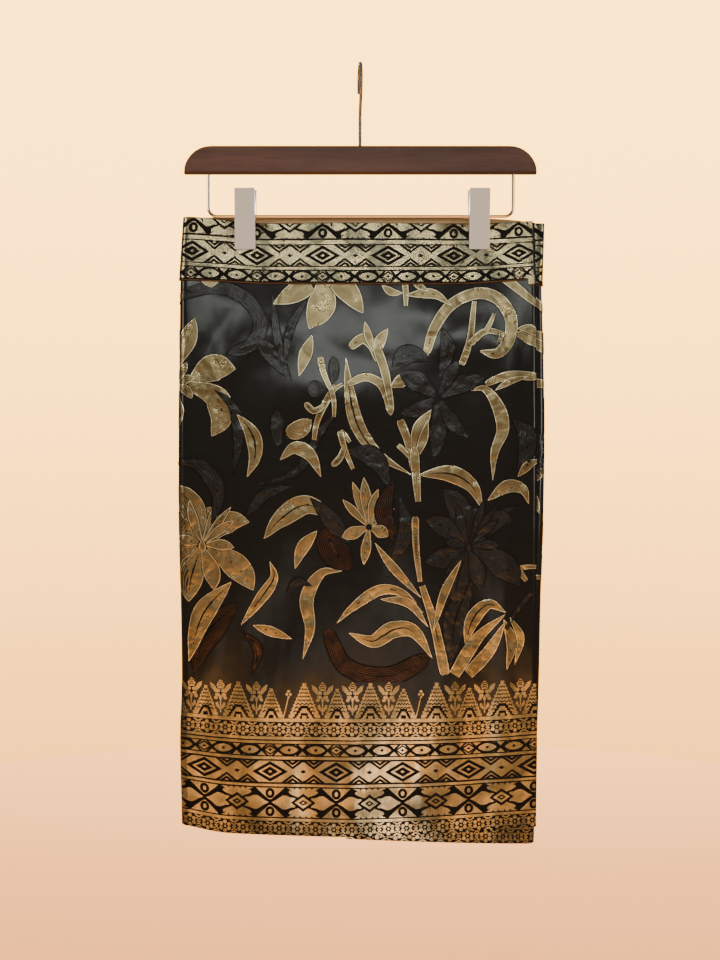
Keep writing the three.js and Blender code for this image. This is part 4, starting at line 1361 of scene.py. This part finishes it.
@dataclass(frozen=True)
class Garden:
    """The front's flowers. A spine's places are threads to the viewer's right and below the band's foot."""

    gold: tuple[Ribbon, ...] = (
        Ribbon(B, 20, [(-150, -6), (-150, 1), (-149, 7)]),
        Ribbon(B, 21, [(-50, 0), (-66, 10), (-87, 21)]),
        Ribbon(P, 28, [(-36, -8), (-38, 20), (-51, 46)]),
        Ribbon(B, 22, [(-24, -4), (-10, 11), (3, 30)]),
        Ribbon(L, 13, [(-48, 53), (-55, 73), (-61, 94)]),
        Ribbon(S, 6, [(-40, 75), (-36, 92), (-28, 110)]),
        Ribbon(S, 7, [(-24, 104), (-34, 120), (-43, 140), (-46, 158)]),
        Ribbon(C, 6, [(-36, 124), (-46, 129), (-55, 121)]),
        Ribbon(S, 5, [(-30, 112), (-24, 106), (-17, 102)]),
        Ribbon(S, 5, [(-29, 106), (-26, 120), (-26, 135)]),
        Ribbon(S, 6, [(-20, 149), (-15, 168), (-7, 187)]),
        Ribbon(C, 6, [(-15, 164), (-20, 176), (-28, 184)]),
        Ribbon(S, 5, [(-20, 149), (-15, 153), (-10, 160)]),
        Ribbon(L, 14, [(-14, 76), (-11, 106), (-3, 142), (17, 171), (51, 193)], True),
        Ribbon(C, 8, [(-12, 102), (5, 95), (20, 101), (28, 116), (31, 133)]),
        Ribbon(C, 10, [(-10, 65), (3, 56), (14, 64), (20, 80)]),
        Ribbon(L, 8, [(5, 39), (8, 52), (14, 70)]),
        Ribbon(L, 11, [(28, 46), (20, 59), (18, 76)]),
        Ribbon(S, 9, [(17, 66), (25, 90), (31, 122)]),
        Ribbon(L, 13, [(31, 105), (43, 98), (56, 95)]),
        Ribbon(
            C,
            11,
            [(66, 73), (75, 45), (93, 21), (119, 11), (140, 19), (152, 40), (149, 61), (138, 73), (121, 70)],
        ),
        Ribbon(S, 7, [(102, 83), (110, 59), (115, 19)]),
        Ribbon(S, 7, [(110, 62), (126, 50), (145, 54)]),
        Ribbon(S, 5, [(142, 52), (142, 57), (139, 62)]),
        Ribbon(S, 5, [(126, 50), (131, 42), (135, 33)]),
        Ribbon(S, 6, [(45, -2), (46, 10), (46, 23)]),
        Ribbon(L, 10, [(46, 12), (74, 11), (92, 23)]),
        Ribbon(L, 8, [(22, 2), (32, 9), (43, 10)]),
        Ribbon(L, 7, [(52, -4), (60, 3), (69, 8)]),
        Ribbon(L, 14, [(155, 54), (170, 58), (186, 72)]),
        Ribbon(L, 9, [(158, 49), (170, 50), (184, 60)]),
        Ribbon(S, 9, [(142, -6), (158, 8), (178, 26)]),
        Ribbon(C, 8, [(126, 103), (149, 96), (180, 99)]),
        Ribbon(L, 7, [(136, 110), (150, 102), (168, 98)]),
        Ribbon(L, 13, [(109, 109), (125, 108), (139, 128), (143, 150), (135, 172), (133, 200)]),
        Ribbon(L, 9, [(158, 198), (170, 186), (182, 183)]),
        Ribbon(S, 8, [(40, 138), (48, 160), (55, 196)]),
        Ribbon(L, 14, [(71, 128), (60, 146), (52, 176)]),
        Ribbon(L, 9, [(68, 138), (63, 158), (54, 180)]),
        Ribbon(S, 5, [(38, 163), (44, 169), (52, 178)]),
        Ribbon(S, 9, [(54, 168), (56, 194), (58, 220)]),
        Ribbon(L, 17, [(59, 193), (90, 192), (112, 205), (123, 229)], True),
        Ribbon(L, 13, [(128, 220), (148, 207), (163, 211), (169, 226)]),
        Ribbon(L, 9, [(15, 261), (31, 283), (61, 316)]),
        Ribbon(S, 7, [(55, 235), (56, 266), (60, 300)]),
        Ribbon(S, 10, [(85, 393), (75, 346), (62, 304)]),
        Ribbon(L, 11, [(-23, 341), (-8, 326), (20, 308), (42, 311), (63, 331)]),
        Ribbon(L, 9, [(20, 317), (48, 321), (68, 345)]),
        Ribbon(L, 17, [(-11, 351), (13, 359), (32, 348), (53, 349), (72, 376)], True),
        Ribbon(L, 9, [(101, 279), (84, 312), (73, 350)]),
        Ribbon(L, 15, [(105, 364), (113, 338), (129, 324), (146, 333)], True),
        Ribbon(B, 13, [(94, 393), (118, 357), (145, 335)]),
        Ribbon(B, 13, [(108, 393), (129, 371), (145, 343)]),
        Ribbon(L, 11, [(144, 340), (152, 364), (147, 390)]),
        Ribbon(L, 8, [(150, 338), (161, 360), (155, 386)]),
        Ribbon(S, 5, [(157, 291), (166, 289), (180, 290)]),
        Ribbon(S, 6, [(158, 290), (162, 296), (167, 303)]),
        Ribbon(P, 17, [(-182, 88), (-172, 62), (-165, 39)]),
        Ribbon(P, 27, [(-168, 104), (-146, 88), (-125, 88)]),
        Ribbon(P, 25, [(-172, 106), (-144, 118), (-139, 138), (-148, 157)]),
        Ribbon(P, 20, [(-184, 112), (-184, 132), (-180, 150)]),
        Ribbon(P, 24, [(-194, 100), (-212, 84), (-226, 70)]),
        Ribbon(P, 22, [(-196, 108), (-214, 118), (-224, 140)]),
        Ribbon(U, 9, [(-180, 106), (-173, 101), (-165, 99)]),
        Ribbon(U, 9, [(-180, 108), (-172, 112), (-167, 120)]),
        Ribbon(U, 8, [(-180, 102), (-177, 94), (-172, 84)]),
        Ribbon(L, 16, [(-123, 134), (-108, 153), (-105, 174), (-113, 196)], True),
        Ribbon(U, 18, [(-74, 151), (-62, 148), (-49, 138)]),
        Ribbon(L, 14, [(-80, 178), (-65, 166), (-50, 173), (-39, 195)]),
        Ribbon(L, 21, [(-129, 302), (-157, 336), (-172, 384)], True),
        Ribbon(L, 12, [(-90, 280), (-86, 296), (-100, 318), (-119, 344)], True),
        Ribbon(L, 10, [(-107, 344), (-88, 350), (-68, 357)]),
        Ribbon(L, 21, [(-96, 257), (-80, 238), (-53, 223), (-19, 240)], True),
        Ribbon(L, 13, [(-43, 249), (-58, 267), (-65, 287)]),
        Ribbon(L, 14, [(-18, 289), (-38, 291), (-53, 316), (-50, 346), (-57, 377)]),
        *lily((-157, 266)),
        *blossom(
            (9, 245),
            (
                (134, 38, 8, 0), (110, 48, 9, 0), (96, 50, 11, 0), (75, 39, 9, 2),
                (34, 31, 10, 2), (330, 21, 13, 2), (201, 29, 13, 0), (262, 38, 10, 0),
            ),
            3.0,
        ),
    )
    tonal: tuple[Ribbon, ...] = (
        Ribbon(C, 13, [(-182, 18), (-146, 7), (-116, 16), (-100, 40), (-108, 62), (-134, 74)]),
        Ribbon(L, 16, [(-108, 52), (-86, 76), (-70, 98)]),
        Ribbon(L, 8, [(-88, 12), (-82, 60), (-68, 100)]),
        Ribbon(L, 8, [(-52, 14), (-70, 46), (-76, 88)]),
        Ribbon(U, 10, [(-27, 74), (-26, 86), (-27, 102)]),
        Ribbon(U, 17, [(-52, 108), (-44, 107), (-36, 105)]),
        Ribbon(L, 12, [(-146, 110), (-126, 128), (-122, 160), (-128, 196)]),
        Ribbon(U, 13, [(-83, 128), (-83, 146), (-82, 166)]),
        Ribbon(L, 9, [(-12, 120), (-40, 150), (-62, 188), (-108, 206)]),
        Ribbon(L, 16, [(-184, 186), (-158, 188), (-142, 214), (-148, 246)]),
        Ribbon(L, 20, [(32, 88), (48, 72), (72, 78)]),
        Ribbon(L, 15, [(82, 44), (88, 66), (80, 96)]),
        *blossom(
            (78, 116),
            (
                (20, 50, 18, 4), (62, 44, 12, 0), (150, 46, 20, -4),
                (200, 40, 15, 4), (264, 62, 17, 4), (310, 50, 15, -5),
            ),
        ),
        Ribbon(L, 20, [(152, 138), (168, 160), (158, 200)]),
        Ribbon(L, 12, [(118, 262), (132, 240), (160, 226)]),
        *lily((109, 265)),
        Ribbon(L, 24, [(112, 300), (96, 336), (90, 384)], True),
        Ribbon(S, 6, [(172, 316), (156, 334), (146, 350)]),
        Ribbon(L, 20, [(-16, 168), (14, 176), (30, 206)]),
        Ribbon(L, 18, [(-10, 262), (-34, 232), (-50, 216)]),
        Ribbon(L, 16, [(30, 282), (46, 250), (40, 214)]),
        Ribbon(L, 12, [(-116, 238), (-96, 214), (-66, 204)]),
        Ribbon(L, 9, [(-74, 312), (-62, 300), (-48, 304)]),
    )
    # Tonal leaves low on the body. Their brown colour is painted warm light from the floor.
    tonal_painted_warm_light: tuple[Ribbon, ...] = (
        Ribbon(C, 17, [(-33, 348), (-14, 384), (28, 394), (70, 374)]),
        Ribbon(L, 28, [(-122, 322), (-154, 356), (-168, 398)], True),
        Ribbon(L, 10, [(-118, 350), (-102, 368), (-108, 394)]),
        Ribbon(U, 30, [(-34, 246), (-26, 268), (-10, 288)]),
        Ribbon(L, 18, [(34, 196), (24, 232), (44, 270)]),
    )

    def all(self) -> list[tuple[Ribbon, Thread]]:
        """Returns each ribbon with its thread."""
        kinds = ((self.tonal_painted_warm_light, Thread.TONAL_PAINTED_WARM_LIGHT), (self.tonal, Thread.TONAL), (self.gold, Thread.LEAF))
        return [(ribbon, finish) for ribbons, finish in kinds for ribbon in ribbons]


@dataclass
class Flowers:
    """The flowers woven on one stretch of the wrap, clear of the waistband and the border."""

    name: str
    runs: Point
    shift: float
    ribbons: Sequence[tuple[Ribbon, Thread]] = field(default_factory=lambda: Garden().all())
    downs: Point = (62.0, 494.0)
    pitch: float = 2.2
    across: float = 2.4
    lift: float = 0.62
    step: float = 0.015
    cycle: int = 20
    rim: float = 1.7
    thread: float = 1.0727

    def flat(self, ribbon: Ribbon) -> tuple[Array, Array, Array, Array]:
        """Returns run, down, length along and distance from the edge, over a ribbon's grid."""
        points = np.asarray(ribbon.spine, float) * self.thread
        lengths = np.concatenate([[0], np.cumsum(np.linalg.norm(np.diff(points, axis=0), axis=1))])
        even = np.linspace(0, 1, max(8, round(lengths[-1] / self.pitch)))
        t = (1 - np.cos(np.pi * even)) / 2 * 0.6 + even * 0.4
        along = t * lengths[-1]
        line = np.stack([curve(along) for curve in columns(lengths, *points)], axis=-1)
        key, value = zip(*ribbon.form.value)
        half = np.maximum(Curve(key, value)(t), 0.02) * ribbon.width * self.thread / 2
        across = np.linspace(-1.0, 1.0, 1 + max(3, math.ceil(ribbon.width / self.across)))
        spread = line[:, None, :] + sideways(line)[:, None, :] * (half[:, None] * across)[..., None]
        run = FRONT_START - spread[..., 0] + self.shift
        down = BAND_HEIGHT + spread[..., 1]
        edge = half[:, None] * (1 - np.abs(across))
        return run, down, np.broadcast_to(along[:, None], run.shape), edge

    def layers(self, ribbon: Ribbon, finish: Thread) -> list[tuple[Ribbon, Thread]]:
        """Returns the ribbon over its dark outline, and its vein over it."""
        outline = Ribbon(ribbon.form, ribbon.width + self.rim, ribbon.spine)
        parts = [(outline, Thread.BLACK), (ribbon, finish)]
        if ribbon.vein:
            spine = columns(np.linspace(0, 1, len(ribbon.spine)), *ribbon.spine)
            inner = zip(*(curve(np.linspace(0.1, 0.82, 6)).tolist() for curve in spine))
            parts.append((Ribbon(Form.LEAF, self.rim, list(inner)), Thread.BLACK))
        return parts

    def build(self) -> bpy.types.Object:
        """Makes the flowers of the stretch as one piece."""
        finishes = [Thread.LEAF, Thread.TONAL, Thread.TONAL_PAINTED_WARM_LIGHT, Thread.BLACK]
        grids, faces, looks, lifts, start = [], [], [], [], 0
        for order, (source, thread) in enumerate(self.ribbons):
            for level, (ribbon, finish) in enumerate(self.layers(source, thread)):
                run, down, along, edge = self.flat(ribbon)
                if run.max() < self.runs[0] or run.min() > self.runs[1]:
                    continue
                cells = grid_cells(*run.shape)[:, (0, 3, 2, 1)] + start
                faces.append(cells)
                looks += [finishes.index(finish)] * len(cells)
                grids.append(np.stack([run, down, along, edge], axis=-1).reshape(-1, 4))
                rise = order % self.cycle * 2 + 1.6 * level
                lifts.append(np.full(run.size, self.lift + self.step * rise))
                start += run.size
        values, lift, cells = np.concatenate(grids), np.concatenate(lifts), np.concatenate(faces)
        run = np.clip(values[:, 0], *self.runs)
        down = np.clip(values[:, 1], *self.downs)
        corner_run, corner_down = run[cells], down[cells]
        clear = (np.ptp(corner_run, axis=1) > 1e-3) & (np.ptp(corner_down, axis=1) > 1e-3)
        made = new_object(self.name, DRAPE.place(run, down, lift), cells[clear].tolist())
        mesh = made.data
        mesh.polygons.foreach_set("material_index", np.asarray(looks)[clear])
        for finish in finishes:
            mesh.materials.append(finish.material())
        keep(mesh, run=run, down=down, along=values[:, 2], edge=values[:, 3])
        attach(made, "root")
        LOG.info("%s: %d faces", self.name, len(mesh.polygons))
        return made


@dataclass
class Hanger:
    """The wooden bar, its hook, the wire frame and the two clips, dressed where the frame has them."""

    finishes: dict[str, Thread] = field(
        default_factory=lambda: {
            "hanger_bar": Thread.WOOD,
            "hanger_hook": Thread.WIRE,
            "hanger_wire": Thread.WIRE,
            "clip_left_front": Thread.PLATE,
            "clip_right_front": Thread.PLATE,
            "clip_left_back": Thread.PLATE,
            "clip_right_back": Thread.PLATE,
            "clip_left_spring": Thread.SPRING,
            "clip_right_spring": Thread.SPRING,
        }
    )

    def dress(self) -> None:
        """Gives each of the hanger's pieces its finish."""
        for name, finish in self.finishes.items():
            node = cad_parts[name]
            node.data.materials.clear()
            node.data.materials.append(finish.material())
        LOG.info("hanger: %d pieces dressed", len(self.finishes))


@dataclass(frozen=True)
class Lamp:
    """A soft oval light: its place, the point it is turned to, its size, power and colour."""

    name: str
    place: Triple
    aim: Triple
    size: Point
    watts: float
    colour: Triple

    def build(self) -> None:
        """Adds the light, out of the camera's sight."""
        data = bpy.data.lights.new(self.name, "AREA")
        data.shape = "ELLIPSE"
        data.size, data.size_y = self.size
        data.energy = self.watts
        data.color = self.colour
        lamp = bpy.data.objects.new(self.name, data)
        lamp.location = self.place
        lamp.visible_camera = False
        way = Vector(self.aim) - Vector(self.place)
        lamp.rotation_euler = way.to_track_quat("-Z", "Y").to_euler()
        bpy.context.collection.objects.link(lamp)


@dataclass
class Studio:
    """The floor, the peach surroundings, the lights and the camera, in metres."""

    floor_level: float = -0.92
    wall_high: Triple = (7.6, 3.9, 0.75)
    wall_low: Triple = (3.4, 1.4, 0.31)
    floor_near: Triple = (2.0, 0.72, 0.17)
    floor_glow: Triple = (0.42, 0.17, 0.035)
    high_glow: Triple = (0.2, 0.2, 0.18)
    low_glow: Triple = (0.30, 0.15, 0.06)
    camera_place: Triple = (0.0, -1.5, -0.449)
    sensor: float = 24.0
    lens: float = 34.63
    lamps: tuple[Lamp, ...] = (
        Lamp("key", (-0.1, -2.0, 0.8), (0, 0, -0.3), (1.2, 0.1), 2.5, (1.0, 0.98, 0.95)),
        Lamp("band", (0.0, -2.0, 0.17), (0, 0, -0.25), (1.7, 0.08), 5.0, (0.95, 1.0, 0.94)),
        Lamp("fill", (0.0, -2.0, -0.77), (0, 0, -0.3), (0.9, 0.12), 0.45, (1.0, 0.96, 0.88)),
        Lamp("left", (-1.9, -1.3, 0.2), (0, 0, -0.5), (0.4, 1.0), 9.0, (1.0, 0.95, 0.88)),
        Lamp("right", (1.9, -1.2, -0.1), (0, 0, -0.5), (0.4, 1.0), 9.0, (1.0, 0.96, 0.9)),
        Lamp("low", (0.0, -1.1, -0.9), (0, 0, -0.72), (1.6, 0.2), 3.4, (1.0, 0.46, 0.14)),
        Lamp("hem", (0.07, -0.55, -0.9), (0, 0, -0.8), (0.15, 0.06), 0.2, (1.0, 0.98, 0.94)),
        Lamp("rear", (0.2, 2.0, 0.2), (0, 0, -0.45), (1.4, 0.5), 34.0, (1.0, 0.97, 0.94)),
    )

    def floor(self) -> None:
        """Lays a pale disc below the cloth."""
        bpy.ops.object.select_all(action="DESELECT")
        bpy.ops.mesh.primitive_circle_add(
            vertices=96, radius=1.0, fill_type="NGON", location=(0, 0, self.floor_level)
        )
        bpy.ops.object.transform_apply(location=True)
        disc = bpy.context.object
        disc.name = "floor"
        shade = Shade("floor", roughness=0.9, base_color=(0.3, 0.2, 0.14), emission_strength=1.0)
        place = shade.node("ShaderNodeTexCoord", out="Object")
        away = shade.node("ShaderNodeSeparateXYZ", None, {0: place}, "Y")
        glow = shade.mix(away.ramp(-0.4, 1.0), self.floor_near, self.wall_low)
        seen = shade.node("ShaderNodeLightPath", out="Is Camera Ray")
        shade.put("Emission Color", shade.mix(seen, self.floor_glow, glow))
        disc.data.materials.append(shade.material)

    def world(self) -> None:
        """Sets the pale peach surroundings."""
        world = bpy.data.worlds.new("surroundings")
        bpy.context.scene.world = world
        world.use_nodes = True
        sky = NodeTree(world.node_tree)
        back = sky.tree.nodes["Background"]
        way = sky.node("ShaderNodeTexCoord", out="Generated")
        height = sky.node("ShaderNodeSeparateXYZ", None, {0: way}, "Z")
        around = sky.mix(height.ramp(-0.2, 0.16), self.low_glow, self.high_glow)
        seen = sky.node("ShaderNodeLightPath", out="Is Camera Ray")
        wall = sky.mix(height.ramp(-0.3, 0.3), self.wall_low, self.wall_high)
        sky.tree.links.new(sky.mix(seen, around, wall).socket, back.inputs["Color"])
        back.inputs["Strength"].default_value = 1.0

    def camera(self) -> None:
        """Adds the camera, level with the middle of the photo."""
        data = bpy.data.cameras.new("camera")
        data.sensor_fit = "VERTICAL"
        data.sensor_height = self.sensor
        data.lens = self.lens
        camera = bpy.data.objects.new("camera", data)
        camera.location = self.camera_place
        camera.rotation_euler = (math.pi / 2, 0, 0)
        bpy.context.collection.objects.link(camera)
        bpy.context.scene.camera = camera

    def build(self) -> None:
        """Sets up the whole studio."""
        self.floor()
        self.world()
        for lamp in self.lamps:
            lamp.build()
        self.camera()
        LOG.info("studio: floor, surroundings, lights and camera")


def main() -> None:
    """Builds the pieces in order."""
    logging.basicConfig(level=logging.INFO, format="%(name)s %(message)s")
    cloth = Cloth()
    satin = cloth.build()
    woven = [
        Flowers("flowers_front", (0.4, FOLDS[0]), 0.0).build(),
        Flowers("flowers_back", FOLDS, 389.0).build(),
        Flowers("flowers_underlap", (FOLDS[1], WRAP_LENGTH - 0.4), 778.0).build(),
        *HemBorder().build(),
    ]
    Waistband().build()
    Hanger().dress()
    Studio().build()


if __name__ == "__main__":
    main()
